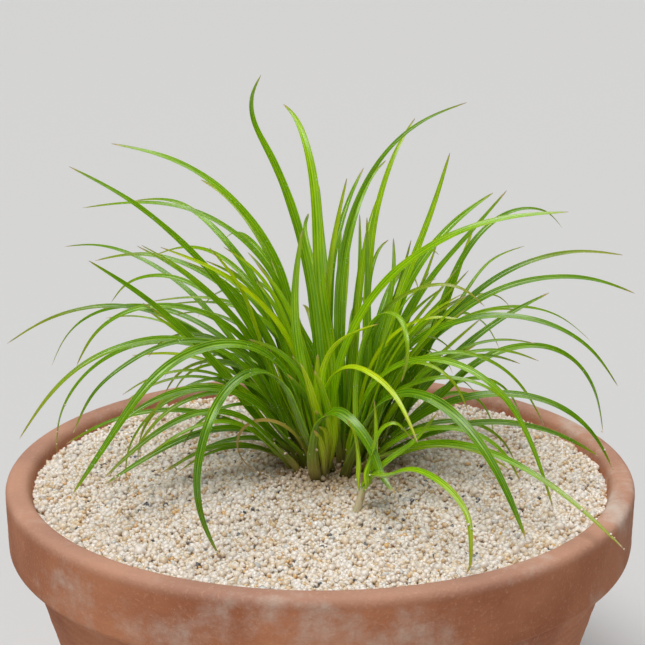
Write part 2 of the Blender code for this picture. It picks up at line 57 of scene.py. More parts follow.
# Corners of the pot's section from the middle of its underside round to the middle of its floor: radius,
# height and how far the corner is rounded
POT_CORNERS = (
    (0.0, 0.0, 0.0),
    (45.0, 0.0, 1.6),
    (58.2, 46.8, 0.9),
    (61.8, 48.0, 1.3),
    (RIM_RADIUS, POT_HEIGHT, 1.7),
    (BRIM_RADIUS, POT_HEIGHT, 1.5),
    (FLOOR_RADIUS, POT_FLOOR, 3.5),
    (0.0, POT_FLOOR, 0.0),
)
CORNER_STEPS = 7
WALL_STEP = 0.55
POT_PARTS = 236
THROWING_PITCH = 1.9
THROWING_DEPTH = 0.07
SMOOTH_RADIUS = 40.0
SMOOTH_HEIGHT = 56.0
OUT_OF_ROUND = 0.0011
GRIT_HEIGHT = 0.22
CLAY_DEEP = (0.36, 0.125, 0.058)
CLAY_WARM = (0.52, 0.21, 0.105)
CLAY_PALE = (0.60, 0.31, 0.19)
LIME_WHITE = (0.66, 0.58, 0.50)


class Wire:
    """A socket in a material. Arithmetic on wires adds Math nodes; on numbers alone it stays in Python."""

    def __init__(self, finish, socket):
        self.finish = finish
        self.socket = socket

    def maths(self, operation, first, second):
        return self.finish.add("ShaderNodeMath", {"operation": operation}, {0: first, 1: second})

    def __add__(self, other):
        return self.maths("ADD", self, other)

    def __sub__(self, other):
        return self.maths("SUBTRACT", self, other)

    def __rsub__(self, other):
        return self.maths("SUBTRACT", other, self)

    def __mul__(self, other):
        return self.maths("MULTIPLY", self, other)

    __radd__ = __add__
    __rmul__ = __mul__


class Finish:
    """A material built from expressions: add makes any node, and shader holds its Principled surface."""

    def __init__(self, name, **constants):
        self.material = bpy.data.materials.new(name)
        self.material.use_nodes = True
        self.tree = self.material.node_tree
        self.shader = self.tree.nodes["Principled BSDF"]
        for socket, value in constants.items():
            self.shader.inputs[socket.replace("_", " ")].default_value = value

    def add(self, kind, settings, sockets, output=0):
        """A new node: its settings first, a ramp's stops among them, then its sockets by name or number."""
        node = self.tree.nodes.new(kind)
        for setting, value in settings.items():
            if setting == "stops":
                ramp = node.color_ramp.elements
                while len(ramp) < len(value):
                    ramp.new(1.0)
                for stop, (place, colour) in zip(ramp, value):
                    stop.position, stop.color = place, (*colour, 1.0)
            else:
                setattr(node, setting, value)
        for socket, value in sockets.items():
            if isinstance(value, Wire):
                self.tree.links.new(value.socket, node.inputs[socket])
            else:
                node.inputs[socket].default_value = value
        return Wire(self, node.outputs[output])

    def mixed(self, factor, first, second):
        """first where factor is 0, second where it is 1, for colours given as wires or as three numbers."""
        colours = [c if isinstance(c, Wire) else (*c, 1.0) for c in (first, second)]
        sockets = {0: factor, 6: colours[0], 7: colours[1]}
        return self.add("ShaderNodeMix", {"data_type": "RGBA"}, sockets, output=2)

    def eased(self, value, low, high):
        """0 below low, 1 above high and a smooth step between. low may be above high."""
        sockets = {"Value": value, "From Min": low, "From Max": high}
        return self.add("ShaderNodeMapRange", {"interpolation_type": "SMOOTHSTEP"}, sockets)

    def noise(self, place, scale, detail=3.0, roughness=0.55):
        """Noise from 0 to 1 at a place, scale being its lumps to the unit."""
        sockets = {"Vector": place, "Scale": scale, "Detail": detail, "Roughness": roughness}
        return self.add("ShaderNodeTexNoise", {}, sockets)

    def place(self):
        """Where the surface is, in the object's own coordinates."""
        return self.add("ShaderNodeTexCoord", {}, {}, output="Object")

    def part(self, vector, axis):
        """One of a vector's three numbers."""
        return self.add("ShaderNodeSeparateXYZ", {}, {"Vector": vector}, output=axis)

    def carried(self, name, output="Vector"):
        """What the mesh's points carry under a name."""
        return self.add("ShaderNodeAttribute", {"attribute_name": name}, {}, output=output)

    def feed(self, **sockets):
        """Link wires to the surface's sockets."""
        for socket, wire in sockets.items():
            self.tree.links.new(wire.socket, self.shader.inputs[socket.replace("_", " ")])

    def bump(self, height, depth_mm):
        """Feed the surface's normal from a height, where 1 stands depth_mm proud of 0."""
        self.feed(Normal=self.add("ShaderNodeBump", {}, {"Height": height, "Distance": depth_mm * MM}))


def surface(name, finish, points, faces, values=(), across=None):
    """A smooth mesh object from points in millimetres and rows of corner numbers, riding on the root body.

    values holds (name, three numbers for each point), and across two numbers for each point, for a UV map.
    """
    mesh = bpy.data.meshes.new(name)
    rows = [row for block in faces for row in block.tolist()]
    mesh.from_pydata((np.asarray(points) * MM).tolist(), [], rows)
    for title, numbers in values:
        mesh.attributes.new(title, "FLOAT_VECTOR", "POINT").data.foreach_set("vector", numbers.ravel())
    if across is not None:
        corners = np.empty(len(mesh.loops), np.int32)
        mesh.loops.foreach_get("vertex_index", corners)
        mesh.uv_layers.new(name="blade").data.foreach_set("uv", across[corners].ravel())
    mesh.shade_smooth()
    mesh.materials.append(finish.material)
    piece = bpy.data.objects.new(name, mesh)
    bpy.context.collection.objects.link(piece)
    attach(piece, "root")
    return piece


def ring_faces(rows, columns):
    """Corner numbers of the quads between neighbouring closed rows of a grid, as rows of four."""
    row, column = np.meshgrid(np.arange(rows - 1), np.arange(columns), indexing="ij")
    start, after = row * columns + column, row * columns + (column + 1) % columns
    return np.stack([start, after, after + columns, start + columns], axis=-1).reshape(-1, 4)


def fan_faces(middle, first, columns):
    """Corner numbers of the triangles from one middle point to a closed row that starts at point first."""
    column = np.arange(columns)
    return np.stack([np.full(columns, middle), first + (column + 1) % columns, first + column], axis=1)


def capped_faces(rows, columns):
    """The faces of a grid of closed rows, with a fan on its first row and one on its last.

    The middles of the fans are the two points that follow the grid's.
    """
    last = rows * columns
    ends = [fan_faces(last, 0, columns), fan_faces(last + 1, last - columns, columns)[:, ::-1]]
    return [ring_faces(rows, columns), *ends]


def rounded(corners, steps):
    """A section's corners as a fine line.

    Each corner is a quadratic curve whose ends lie its rounding away. Straights are cut at each WALL_STEP.
    """
    line = [corners[0][:2]]
    for (ax, az, _), (bx, bz, radius), (cx, cz, _) in zip(corners, corners[1:], corners[2:]):
        corner = np.array([bx, bz])
        back = np.array([ax, az]) - corner
        on = np.array([cx, cz]) - corner
        start = corner + back / norm(back) * radius
        end = corner + on / norm(on) * radius
        share = np.linspace(0.0, 1.0, steps)[:, None]
        line.extend(start * (1 - share) ** 2 + 2 * corner * share * (1 - share) + end * share ** 2)
    line.append(corners[-1][:2])
    line = np.array(line)
    lengths = norm(np.diff(line, axis=0), axis=1)
    walked = np.concatenate([[0.0], np.cumsum(lengths)])
    extra = [np.arange(WALL_STEP, length, WALL_STEP) + begin
             for begin, length in zip(walked, lengths) if length > 2 * WALL_STEP]
    at = np.sort(np.concatenate([walked, *extra]))
    return np.stack([np.interp(at, walked, line[:, 0]), np.interp(at, walked, line[:, 1])], axis=1)


def turned_surface(name, finish, section, parts, shaped):
    """Turn a section of (radius, height) about Z.

    The section's two ends lie on the axis. shaped(radius, height, angle) returns the radius and height of
    each point of the grid, whose rows follow the section and whose columns go round.
    """
    angle = np.linspace(0.0, 2.0 * math.pi, parts, endpoint=False)[None, :]
    radius, height = shaped(section[1:-1, :1], section[1:-1, 1:], angle)
    grid = np.broadcast_arrays(radius * np.cos(angle), radius * np.sin(angle), height)
    ends = [[0.0, 0.0, section[0, 1]], [0.0, 0.0, section[-1, 1]]]
    points = np.concatenate([np.stack(grid, axis=-1).reshape(-1, 3), ends])
    return surface(name, finish, points, capped_faces(len(section) - 2, parts))


def thrown(radius, height, angle):
    """The pot's wall as thrown: faint rings that climb in a spiral, and a slightly oval round.

    The rings are the sum of two sines of the climb. They end on the underside and grow faint at the rim.
    """
    climb = 2.0 * math.pi * height / THROWING_PITCH + angle
    wall = np.clip((radius - SMOOTH_RADIUS) / 5.0, 0.0, 1.0)
    wall = wall * np.clip((SMOOTH_HEIGHT - height) / 12.0, 0.25, 1.0)
    rings = THROWING_DEPTH * (np.sin(climb) + 0.5 * np.sin(0.37 * climb + 1.3)) * wall
    oval = 1.0 + OUT_OF_ROUND * (np.cos(2.0 * angle + 0.7) + 0.5 * np.cos(3.0 * angle))
    return (radius + rings) * oval, height


clay = Finish("unglazed red clay", Roughness=0.86, Specular_IOR_Level=0.3)
place = clay.place()
height = clay.part(place, "Z")
clouds = clay.noise(place, scale=34.0, detail=4.0)
grit = clay.noise(place, scale=1500.0, detail=2.0, roughness=0.7)
body = clay.mixed(clay.eased(clouds, 0.34, 0.68), CLAY_DEEP, CLAY_WARM)
body = clay.mixed(clay.eased(grit, 0.52, 0.78) * 0.5, body, CLAY_PALE)
lime = clay.eased(clay.noise(place, scale=62.0, detail=6.0, roughness=0.66), 0.50, 0.74)
lime = lime * clay.eased(height, 30.0 * MM, 60.0 * MM)
lime = lime * 0.55 + clay.eased(height, 58.5 * MM, 61.2 * MM) * 0.22
clay.feed(Base_Color=clay.mixed(lime, body, LIME_WHITE))
clay.bump(grit * 0.6 + clay.noise(place, scale=420.0) * 0.8, GRIT_HEIGHT)
pot = turned_surface("clay_pot", clay, rounded(POT_CORNERS, CORNER_STEPS), POT_PARTS, thrown)
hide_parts("pot")


# The sand
# Coarse washed aquarium sand: rounded quartz grains of about a millimetre, milky, cream and amber, with some
# grey and black ones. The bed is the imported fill, and the loose top layer is poured on it grain by grain.
SAND_HEIGHT = 60.0
HEAP_HEIGHT = 1.8
HEAP_RADIUS = 24.0
HOLLOW_DEPTH = 0.35
HOLLOWS_FROM = 18.0
CLUMP_X = 3.4
CLUMP_Y = 2.5
BED_DEPTH = 0.45
BED_GAP = 0.3
BED_SHOULDER = 54.0
BED_RINGS = 60
BED_PARTS = 160
GRAIN_SPACING = 0.78
ROW_SPACING = 0.866
LATTICE_SCATTER = 0.32
LEVEL_SCATTER = 0.26
GRAIN_SIZE = 1.12
GRAIN_STRETCH = (0.74, 1.24)
GRAIN_DENTS = (0.80, 1.14)
GRAIN_CORNERS = 12
LOOSE_GRAINS = 900
LOOSE_RADIUS = 56.0
LOOSE_RISE = 0.42
# Kinds of grain: the share of all, the darkest and the palest colour, and the size beside the usual
GRAIN_KINDS = (
    (0.612, (0.77, 0.67, 0.55), (0.88, 0.81, 0.74), 1.04),
    (0.200, (0.70, 0.55, 0.38), (0.83, 0.70, 0.53), 0.98),
    (0.108, (0.52, 0.34, 0.16), (0.70, 0.50, 0.28), 0.82),
    (0.046, (0.62, 0.34, 0.10), (0.78, 0.49, 0.20), 0.76),
    (0.012, (0.50, 0.49, 0.46), (0.66, 0.64, 0.60), 1.15),
    (0.022, (0.020, 0.022, 0.030), (0.08, 0.08, 0.10), 0.74),
)
CLOUDY_WHITE = (0.90, 0.87, 0.80)
# The amber of painted shade on each grain's underside, where it sits among the others
CREVICE_SHADE = (0.90, 0.74, 0.54)
# The darkening of the sand near the tuft, partly a stain of leaf litter and partly painted shade under the
# leaves, and how far it reaches
STAIN_AND_SHADE = (0.54, 0.41, 0.22)
STAIN_AND_SHADE_REACH = 15.0


def sand_top(x, y):
    """Height of the sand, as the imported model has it: a low heap at the tuft and a few shallow hollows."""
    away = np.hypot(x - CLUMP_X, y - CLUMP_Y)
    heap = HEAP_HEIGHT * (np.exp(-(away / HEAP_RADIUS) ** 2) - 1.0)
    hollows = HOLLOW_DEPTH * np.sin(x / 9.0 + 0.6) * np.cos(y / 7.5)
    return SAND_HEIGHT + heap + hollows * (1.0 - np.exp(-(away / HOLLOWS_FROM) ** 2))


def brim_inside(height):
    """The pot's inner radius at a height: a straight taper from its floor to its brim."""
    return FLOOR_RADIUS + (height - POT_FLOOR) / (POT_HEIGHT - POT_FLOOR) * (BRIM_RADIUS - FLOOR_RADIUS)


def heaped(radius, height, angle):
    """The fill's top follows the heap a little under the loose layer; its sides keep their height."""
    top = sand_top(radius * np.cos(angle), radius * np.sin(angle)) - BED_DEPTH
    return radius, np.where(height > BED_SHOULDER, np.minimum(top, height), height)


bed_edge = brim_inside(SAND_HEIGHT) - BED_GAP
bed_bottom = POT_FLOOR + BED_GAP
bed_section = np.concatenate([
    [[0.0, bed_bottom], [FLOOR_RADIUS - BED_GAP, bed_bottom], [bed_edge - 1.0, BED_SHOULDER]],
    np.stack([np.linspace(bed_edge, 0.0, BED_RINGS), np.full(BED_RINGS, SAND_HEIGHT)], axis=1),
])
bed_section[-1, 1] = sand_top(0.0, 0.0) - BED_DEPTH
# The bed is darker than the grains on it: partly the sand's own amber, partly painted shade in the gaps between
# the grains
packed_sand = Finish("packed sand with painted gap shade", Roughness=0.8)
cells = {"Vector": packed_sand.place(), "Scale": 1300.0}
tone = packed_sand.part(packed_sand.add("ShaderNodeTexVoronoi", {}, cells, output="Color"), "X")
stops = ((0.0, (0.26, 0.13, 0.04)), (0.5, (0.50, 0.30, 0.12)), (1.0, (0.72, 0.54, 0.32)))
packed_sand.feed(Base_Color=packed_sand.add("ShaderNodeValToRGB", {"stops": stops}, {"Fac": tone}))
bed = turned_surface("sand_bed", packed_sand, bed_section, BED_PARTS, heaped)
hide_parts("sand")


def icosahedron():
    """The 12 corners of an icosahedron of radius 1, and its 20 faces: all corner triples one edge apart."""
    golden = (1.0 + math.sqrt(5.0)) / 2.0
    corners = np.array([[0, a, b * golden] for a in (-1, 1) for b in (-1, 1)], float)
    corners = np.concatenate([corners, corners[:, [1, 2, 0]], corners[:, [2, 0, 1]]])
    near = norm(corners[:, None] - corners[None], axis=2) < 2.1
    numbers = range(GRAIN_CORNERS)
    faces = np.array([(i, j, k) for i in numbers for j in numbers[i + 1:] for k in numbers[j + 1:]
                      if near[i, j] and near[j, k] and near[i, k]])
    first, second, third = corners[faces].transpose(1, 0, 2)
    inwards = (np.cross(second - first, third - first) * first).sum(axis=1) <= 0.0
    faces[inwards] = faces[inwards][:, [0, 2, 1]]
    return corners / norm(corners[0]), faces


def grain_mesh(centres, sizes, pick):
    """Rounded grains: an icosahedron at each centre, stretched, dented at its corners and turned at random.

    A turn by the unit quaternion (w, axis) adds twice w times axis x point, and twice axis x (axis x point).
    """
    corners, faces = icosahedron()
    count = len(centres)
    stretch = pick.uniform(*GRAIN_STRETCH, (count, 1, 3))
    dents = pick.uniform(*GRAIN_DENTS, (count, GRAIN_CORNERS, 1))
    spin = pick.normal(size=(count, 1, 4))
    spin /= norm(spin, axis=2, keepdims=True)
    w, axis = spin[..., :1], spin[..., 1:]
    shapes = corners[None] * stretch * dents * sizes[:, None, None] / 2.0
    swept = np.cross(axis, shapes)
    points = centres[:, None] + shapes + 2.0 * (w * swept + np.cross(axis, swept))
    firsts = GRAIN_CORNERS * np.arange(count)[:, None, None]
    return points.reshape(-1, 3), (faces[None] + firsts).reshape(-1, 3)


def grain_looks(count, pick):
    """For each of count grains, its kind's colour between darkest and palest, and its size."""
    shares, dark, pale, usual = (np.array(column) for column in zip(*GRAIN_KINDS))
    kinds = pick.choice(len(shares), count, p=shares)
    colours = dark[kinds] + (pale - dark)[kinds] * pick.uniform(0.0, 1.0, (count, 1))
    return colours, GRAIN_SIZE * usual[kinds] * pick.lognormal(0.0, 0.25, count).clip(0.5, 1.7)


quartz = Finish("quartz grains", Roughness=0.20, Specular_IOR_Level=0.5, Subsurface_Weight=0.5,
                Subsurface_Scale=MM, Subsurface_Radius=(0.5, 0.5, 0.5))
colour = quartz.carried("grain_colour", output="Color")
cloud = quartz.eased(quartz.noise(quartz.place(), scale=1700.0, detail=2.0), 0.35, 0.7)
quartz.feed(Base_Color=quartz.mixed(cloud * 0.3, colour, CLOUDY_WHITE))


def add_grains(name, centres, pick, smaller=1.0):
    """One piece of grains at these centres, darker where they lie close to the tuft: partly a stain of leaf
    litter, partly painted shade of the leaves above.

    A grain's colour darkens to amber on its underside, by how far each corner lies under its centre: painted
    shade of the crevice it sits in.
    """
    colours, sizes = grain_looks(len(centres), pick)
    away = np.hypot(centres[:, 0] - CLUMP_X, centres[:, 1] - CLUMP_Y)
    # Darken the grains near the tuft: partly litter stain, partly painted shade under the leaves
    colours *= 1.0 - (1.0 - np.array(STAIN_AND_SHADE)) * np.exp(-(away / STAIN_AND_SHADE_REACH) ** 4)[:, None]
    points, faces = grain_mesh(centres, sizes * smaller, pick)
    depth = np.repeat(centres[:, 2], GRAIN_CORNERS) - points[:, 2]
    # Painted crevice shade, deeper the further a corner lies under the grain's centre
    crevice_shading = np.clip(0.35 + depth / np.repeat(sizes * smaller, GRAIN_CORNERS), 0.0, 1.0)[:, None]
    colours = np.repeat(colours, GRAIN_CORNERS, axis=0) * (1.0 - crevice_shading * (1.0 - np.array(CREVICE_SHADE)))
    piece = surface(name, quartz, points, [faces], [("grain_colour", colours)])


pick = np.random.default_rng(77)
across_count = int(2 * BRIM_RADIUS / GRAIN_SPACING)
row, column = np.meshgrid(np.arange(across_count * 1.2), np.arange(across_count + 1.0), indexing="ij")
lattice = [(column + 0.5 * (row % 2)) * GRAIN_SPACING, row * GRAIN_SPACING * ROW_SPACING]
lattice = np.stack(lattice, axis=-1).reshape(-1, 2)
lattice += pick.uniform(-LATTICE_SCATTER, LATTICE_SCATTER, lattice.shape) * GRAIN_SPACING - BRIM_RADIUS
lattice = lattice[np.hypot(*lattice.T) < brim_inside(SAND_HEIGHT) - 0.5]
level = sand_top(*lattice.T) - 0.12 + pick.uniform(-LEVEL_SCATTER, LEVEL_SCATTER, len(lattice))
poured = np.column_stack([lattice, level])
out, round_by = pick.uniform(0.0, 1.0, (LOOSE_GRAINS, 2)).T
out = np.sqrt(out) * LOOSE_RADIUS
loose = np.stack([out * np.cos(2 * math.pi * round_by), out * np.sin(2 * math.pi * round_by)], axis=1)
poured = np.concatenate([poured, np.column_stack([loose, sand_top(*loose.T) + LOOSE_RISE])])
sector = (np.degrees(np.arctan2(poured[:, 1], poured[:, 0])) + 360.0) % 360.0 // 120.0
for part, side in enumerate(("back_right", "left", "front_right")):
    add_grains("sand_grains_" + side, poured[sector == part], pick)


# The arching leaves
# Seventeen leaves that rise and bend outwards. Each, like every leaf here, is one narrow veined blade: a pale
# sheath at its foot, a shallow channel along its upper face and a drawn-out point that dries to tan.
ROW_STEP = 0.8
FEWEST_ROWS = 20
MOST_ROWS = 90
TOP_COLUMNS = 11
SIDE_STIFFNESS = 10.0
END_WEIGHT = 20.0
NARROWING = 2.0
POINT_POWER = 0.56
TIP_WIDTH = 0.10
BLADE_THICK = 0.24
SHEATH_THICK = 1.35
SHEATH_FADE = 7.0
SHEATH_REACH = 8.5
CHANNEL = 0.30
SHEATH_CHANNEL = 0.12
FOLD = 1.2
BELLY_FOLD = 2.2
BELLY_POWER = 0.6
THIN_HALF = 0.5
RIPPLE = 0.05
RIPPLE_LENGTH = 11.0
ROOTED = 1.5
CROWN_ROOTED = 0.6
DRY_POINT = (1.0, 2.6)
FADE_LENGTH = 6.0
YELLOW_LENGTH = 22.0
MAP_LENGTH = 100.0
WIDEST_RING = 5.0
NARROW_RING = 0.4
PACKED_WIDTH = 1.1
# Where the feet are drawn in to: x, y, by what share, and how far up the blades that reaches
TUFT_FOOT = (CLUMP_X, CLUMP_Y, 0.42, 8.5)
# By where a leaf grows: its run's stiffness and trust, and how much its foot is necked in and how far up
FORMS = {"ring": (0.05, 0.0, 0.05, 9.0), "crown": (12.0, 3.0, 0.42, 9.0), "shoot": (0.4, 0.0, 0.75, 3.0)}
AS_PACKED = (1.0, ())
# Leaves fitted, by number: the width beside the imported one's, the steps by which the leaf hangs beside
# it, and in some how young the green is, from 0 to 1. A step has a share of the way along, then the
# millimetres to the right and up there, and in some the millimetres back.
ARCHING_LEAVES = {
    1: (1, ((0.35, -1.5, -0.5), (0.65, -0.8, -1), (1, -1, -0.9))),
    2: (1, ((0.45, 0.3, 0.3), (0.6, 0.8, 0.5), (0.7, 0.6, 0.8), (1, 1.8, -0.2))),
    5: (1, ((0.35, -1.2, -0.2), (0.65, -0.8, -0.7), (0.85, -0.5, -0.6), (1, -1, -0.6)), 0.25),
    6: (1, ((0.35, -2.5, -1.5), (0.65, -2.6, -2), (1, -3.2, -1.9))),
    7: (1, ((0.7, 0, 0), (0.85, -0.9, 0), (1, -1.8, 0))),
    8: (1, ((0.7, 0, 0), (0.85, -0.5, 0), (1, -1.8, 0))),
    9: (1, ((0.35, 0, 0), (0.65, 0.6, 0), (0.85, 0.8, 0), (1, 0, -0.6)), 0.2),
    10: (1, ((0.6, 0, -0.4), (0.85, 0, -0.8), (1, 0, -1))),
    11: (1, (), 0.6),
    12: (1.1, ((0.35, -1.2, 0), (0.52, -2.1, 0), (0.7, -1.8, 0), (0.85, -0.6, 0), (1, -1.1, -0.8)), 0.35),
    13: (1, ((0.4, 1.5, -4), (0.7, 4.4, -9), (0.85, 3, -11), (1, 1, -13))),
    14: (1, ((0.5, 0, 0), (0.8, -0.6, -1), (1, -1.5, 0))),
    15: (1, ((0.4, -1.5, 0), (0.7, -1, 0), (1, 1.2, -1))),
    16: (1, ((0.3, -1.5, -0.5), (0.5, -3.6, -1.5), (0.7, -4, -2.5), (1, -2.6, -4))),
    17: (1, ((0.5, 0, 0), (1, 2, -0.5))),
}


def joined(node):
    """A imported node's points in millimetres and its triangles, with points closer than a micron made one."""
    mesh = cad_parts[node].data
    points = np.empty(len(mesh.vertices) * 3)
    mesh.vertices.foreach_get("co", points)
    mesh.calc_loop_triangles()
    corners = np.empty(len(mesh.loop_triangles) * 3, np.int32)
    mesh.loop_triangles.foreach_get("vertices", corners)
    points, same = np.unique(np.round(points.reshape(-1, 3) * 1e6), axis=0, return_inverse=True)
    return points / 1000.0, same.ravel()[corners].reshape(-1, 3)


def blade_rings(node):
    """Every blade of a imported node: its rings of four points from foot to tip, and its tip.

    A tip's neighbours are its last ring, which may have lost a point. Each ring's unseen neighbours are the
    ring before, as far as the foot or, on a crown, the first ring of more than four. Rings as wide as
    WIDEST_RING would join the feet of different leaves.
    """
    points, triangles = joined(node)
    pairs = np.concatenate([triangles[:, [0, 1]], triangles[:, [1, 2]], triangles[:, [2, 0]]])
    near = [set() for _ in points]
    for a, b in pairs.tolist():
        near[a].add(b)
        near[b].add(a)
    blades = []
    for tip, around in enumerate(near):
        if len(around) not in (3, 4):
            continue
        seen, ring, rings = {tip}, set(around), []
        while len(ring) == 4 or not rings:
            rings.append(points[sorted(ring)])
            seen |= ring
            ring = set().union(*(near[k] for k in ring)) - seen
        if len(rings) >= 5 and np.ptp(rings[0], axis=0).max() < WIDEST_RING:
            blades.append((rings[::-1], points[tip]))
    return blades


def blade_line(rings, tip, from_crown):
    """Where a blade runs: points along its middle, its sideways directions and its widths, from foot to tip.

    A ring's two points furthest apart are the edges, and the keel is the one left that is furthest from their
    middle. A side direction is turned round where the keel wouldn't lie under the blade. Rings narrower than
    NARROW_RING keep the side direction before them.
    """
    middles, sides, widths, faces = [], [], [], []
    for ring in rings:
        apart = norm(ring[:, None] - ring[None], axis=2)
        a, b = np.unravel_index(np.argmax(apart), apart.shape)
        middle = (ring[a] + ring[b]) / 2.0
        rest = np.delete(ring, [a, b], axis=0)
        keel = rest[np.argmax(norm(rest - middle, axis=1))]
        middles.append(middle)
        sides.append((ring[a] - ring[b]) / apart[a, b])
        widths.append(apart[a, b])
        faces.append(middle - keel)
    middles = np.array(middles + [tip])
    ahead = np.gradient(middles, axis=0)[:-1]
    turned = np.sign((np.cross(ahead, sides) * faces).sum(axis=1))[:, None]
    widths = np.array(widths)
    wide = np.maximum.accumulate(np.where(widths > NARROW_RING, np.arange(len(rings)), 0))
    sides = (np.array(sides) * np.where(turned < 0.0, -1.0, 1.0))[wide]
    sides = np.concatenate([sides, sides[-1:]])
    if from_crown:
        middles[0] = rings[0].mean(axis=0)
        sides[0] = sides[1]
        widths[0] = widths[1]
    return middles, sides, widths


def smoothed(knots, values, rows, stiffness, trust=0.0):
    """The smoothest line of evenly spaced rows that passes near values at knots, which lie from 0 to 1.

    It solves for the rows that make the squared misses at the knots, plus the squared second differences
    times the stiffness, as small as they can be. The foot and the tip weigh most, so that those stay where
    they are. A knot between them weighs its place along to the power trust.
    """
    place = knots * (rows - 1)
    before = np.clip(place.astype(int), 0, rows - 2)
    hits = np.zeros((len(knots), rows))
    hits[np.arange(len(knots)), before] = 1.0 - (place - before)
    hits[np.arange(len(knots)), before + 1] = place - before
    weights = knots ** trust
    weights[[0, -1]] = END_WEIGHT
    bends = np.diff(np.eye(rows), 2, axis=0)
    weighed = hits.T * weights
    return np.linalg.solve(weighed @ hits + stiffness * bends.T @ bends, weighed @ values)


def walked_along(line):
    """How far along a line each of its points lies."""
    return np.concatenate([[0.0], np.cumsum(norm(np.diff(line, axis=0), axis=1))])


def across_blade():
    """Places across a closed section, and which are on the lower face.

    They go from -1 to 1 along the upper face, as a cosine does, then back along the lower.
    """
    top = -np.cos(np.linspace(0.0, math.pi, TOP_COLUMNS))
    return np.concatenate([top, top[-2:0:-1]]), np.repeat([0.0, 1.0], [TOP_COLUMNS, TOP_COLUMNS - 2])


def grown(middles, sides, width, form, phase):
    """A blade's closed grid of points from its run, and how far along it each row lies.

    Half-width falls as (1 - share squared) to a power, and necks in at the foot by a bell curve. The upper
    face is a blunt V, sunk below the edges as (1 - a to the FOLD) for a place a across. The lower face lies
    under it by a thickness that thins to the edges, and where a half is narrower than THIN_HALF. The edges
    ripple by a slow wave.
    """
    stiffness, trust, neck, neck_reach = FORMS[form]
    knots = walked_along(middles)
    length = knots[-1]
    rows = int(np.clip(length / ROW_STEP, FEWEST_ROWS, MOST_ROWS))
    share = np.linspace(0.0, 1.0, rows)
    at = share * length
    middle = smoothed(knots / length, middles, rows, stiffness, trust)
    ahead = np.gradient(middle, at, axis=0)
    ahead /= norm(ahead, axis=1)[:, None]
    side = smoothed(knots / length, sides, rows, SIDE_STIFFNESS)
    side -= (side * ahead).sum(axis=1)[:, None] * ahead
    side /= norm(side, axis=1)[:, None]
    face = np.cross(ahead, side)
    a, under = across_blade()
    sheath = np.exp(-at / SHEATH_FADE)[:, None]
    necked = 1.0 - neck * np.exp(-(at / neck_reach) ** 2)
    half = (width * necked * (1.0 - share ** NARROWING) ** POINT_POWER + TIP_WIDTH)[:, None] / 2.0
    sunk = half * (CHANNEL + SHEATH_CHANNEL * sheath) * (1.0 - np.abs(a) ** FOLD)
    thick = (BLADE_THICK + SHEATH_THICK * sheath) * np.minimum(half / THIN_HALF, 1.0) ** 2
    lower = thick * (1.0 - np.abs(a) ** BELLY_FOLD) ** BELLY_POWER
    wave = RIPPLE * np.sin(2.0 * math.pi * at / RIPPLE_LENGTH + phase)[:, None] * np.minimum(half, 1.0)
    rise = -sunk - lower * under + wave * a * np.abs(a)
    grid = middle[:, None] + side[:, None] * (half * a)[..., None] + face[:, None] * rise[..., None]
    return grid, at


def gathered(middles, x, y, share, reach):
    """A run whose foot is drawn in towards an upright line at (x, y).

    The share by which each point moves there falls along the blade as a bell curve.
    """
    pull = share * np.exp(-(walked_along(middles) / reach) ** 2)
    middles[:, 0] -= (middles[:, 0] - x) * pull
    middles[:, 1] -= (middles[:, 1] - y) * pull
    return middles


def leant(middles, steps):
    """A run moved by its steps, and evenly between them, starting from no move just before the foot."""
    walked = walked_along(middles)
    share, right, up, back = np.array([(*step, 0.0)[:4] for step in ((-0.01, 0.0, 0.0), *steps)]).T
    moves = [np.interp(walked / walked[-1], share, move) for move in (right, back, up)]
    return middles + np.stack(moves, axis=1)


def blade_runs(node, fitted, feet=(TUFT_FOOT,), start=(), wider=1.0, from_crown=False):
    """The runs of a node's blades: middles, sides, width and known youth of each.

    A single leaf's foot runs on down into the sand, and a crown's leaves down to the crown's root. They are
    drawn in to the feet, one after the other. A run with a start follows its points first. fitted holds the
    leaves fitted one by one, by their number in the node.
    """
    runs = []
    blades = blade_rings(node)
    root = np.mean([rings[0].mean(axis=0) for rings, _ in blades], axis=0)
    for number, (rings, tip) in enumerate(blades):
        middles, sides, widths = blade_line(rings, tip, from_crown)
        foot = middles[0]
        down = foot - (middles[1] - foot) / norm(middles[1] - foot) * ROOTED
        if from_crown:
            down = foot + (root - foot) * CROWN_ROOTED
        down[2] = sand_top(*down[:2]) - ROOTED
        middles = np.concatenate([[down], middles])
        for drawn_to in feet:
            middles = gathered(middles, *drawn_to)
        own_width, steps, youth = (*fitted.get(number, AS_PACKED), None)[:3]
        middles = leant(middles, steps)
        sides = np.concatenate([sides[:1], sides])
        if start:
            first = np.argmax(middles[:, 2] > start[-1][2] + 1.0)
            middles = np.concatenate([start, middles[first:]])
            sides = np.concatenate([sides[first:first + 1]] * len(start) + [sides[first:]])
        runs.append((middles, sides, widths.max() / PACKED_WIDTH * wider * own_width, youth))
    return runs


def turned_run(run, root, angle, scale, kept, narrower):
    """The first kept points of a run, turned about an upright line through root and scaled from it."""
    middles, sides, width, _ = run
    c, s = math.cos(angle), math.sin(angle)
    turn = np.array([[c, -s, 0.0], [s, c, 0.0], [0.0, 0.0, 1.0]])
    moved = root + (middles - root) @ turn.T * scale
    return moved[:kept], (sides @ turn.T)[:kept], width * narrower, None


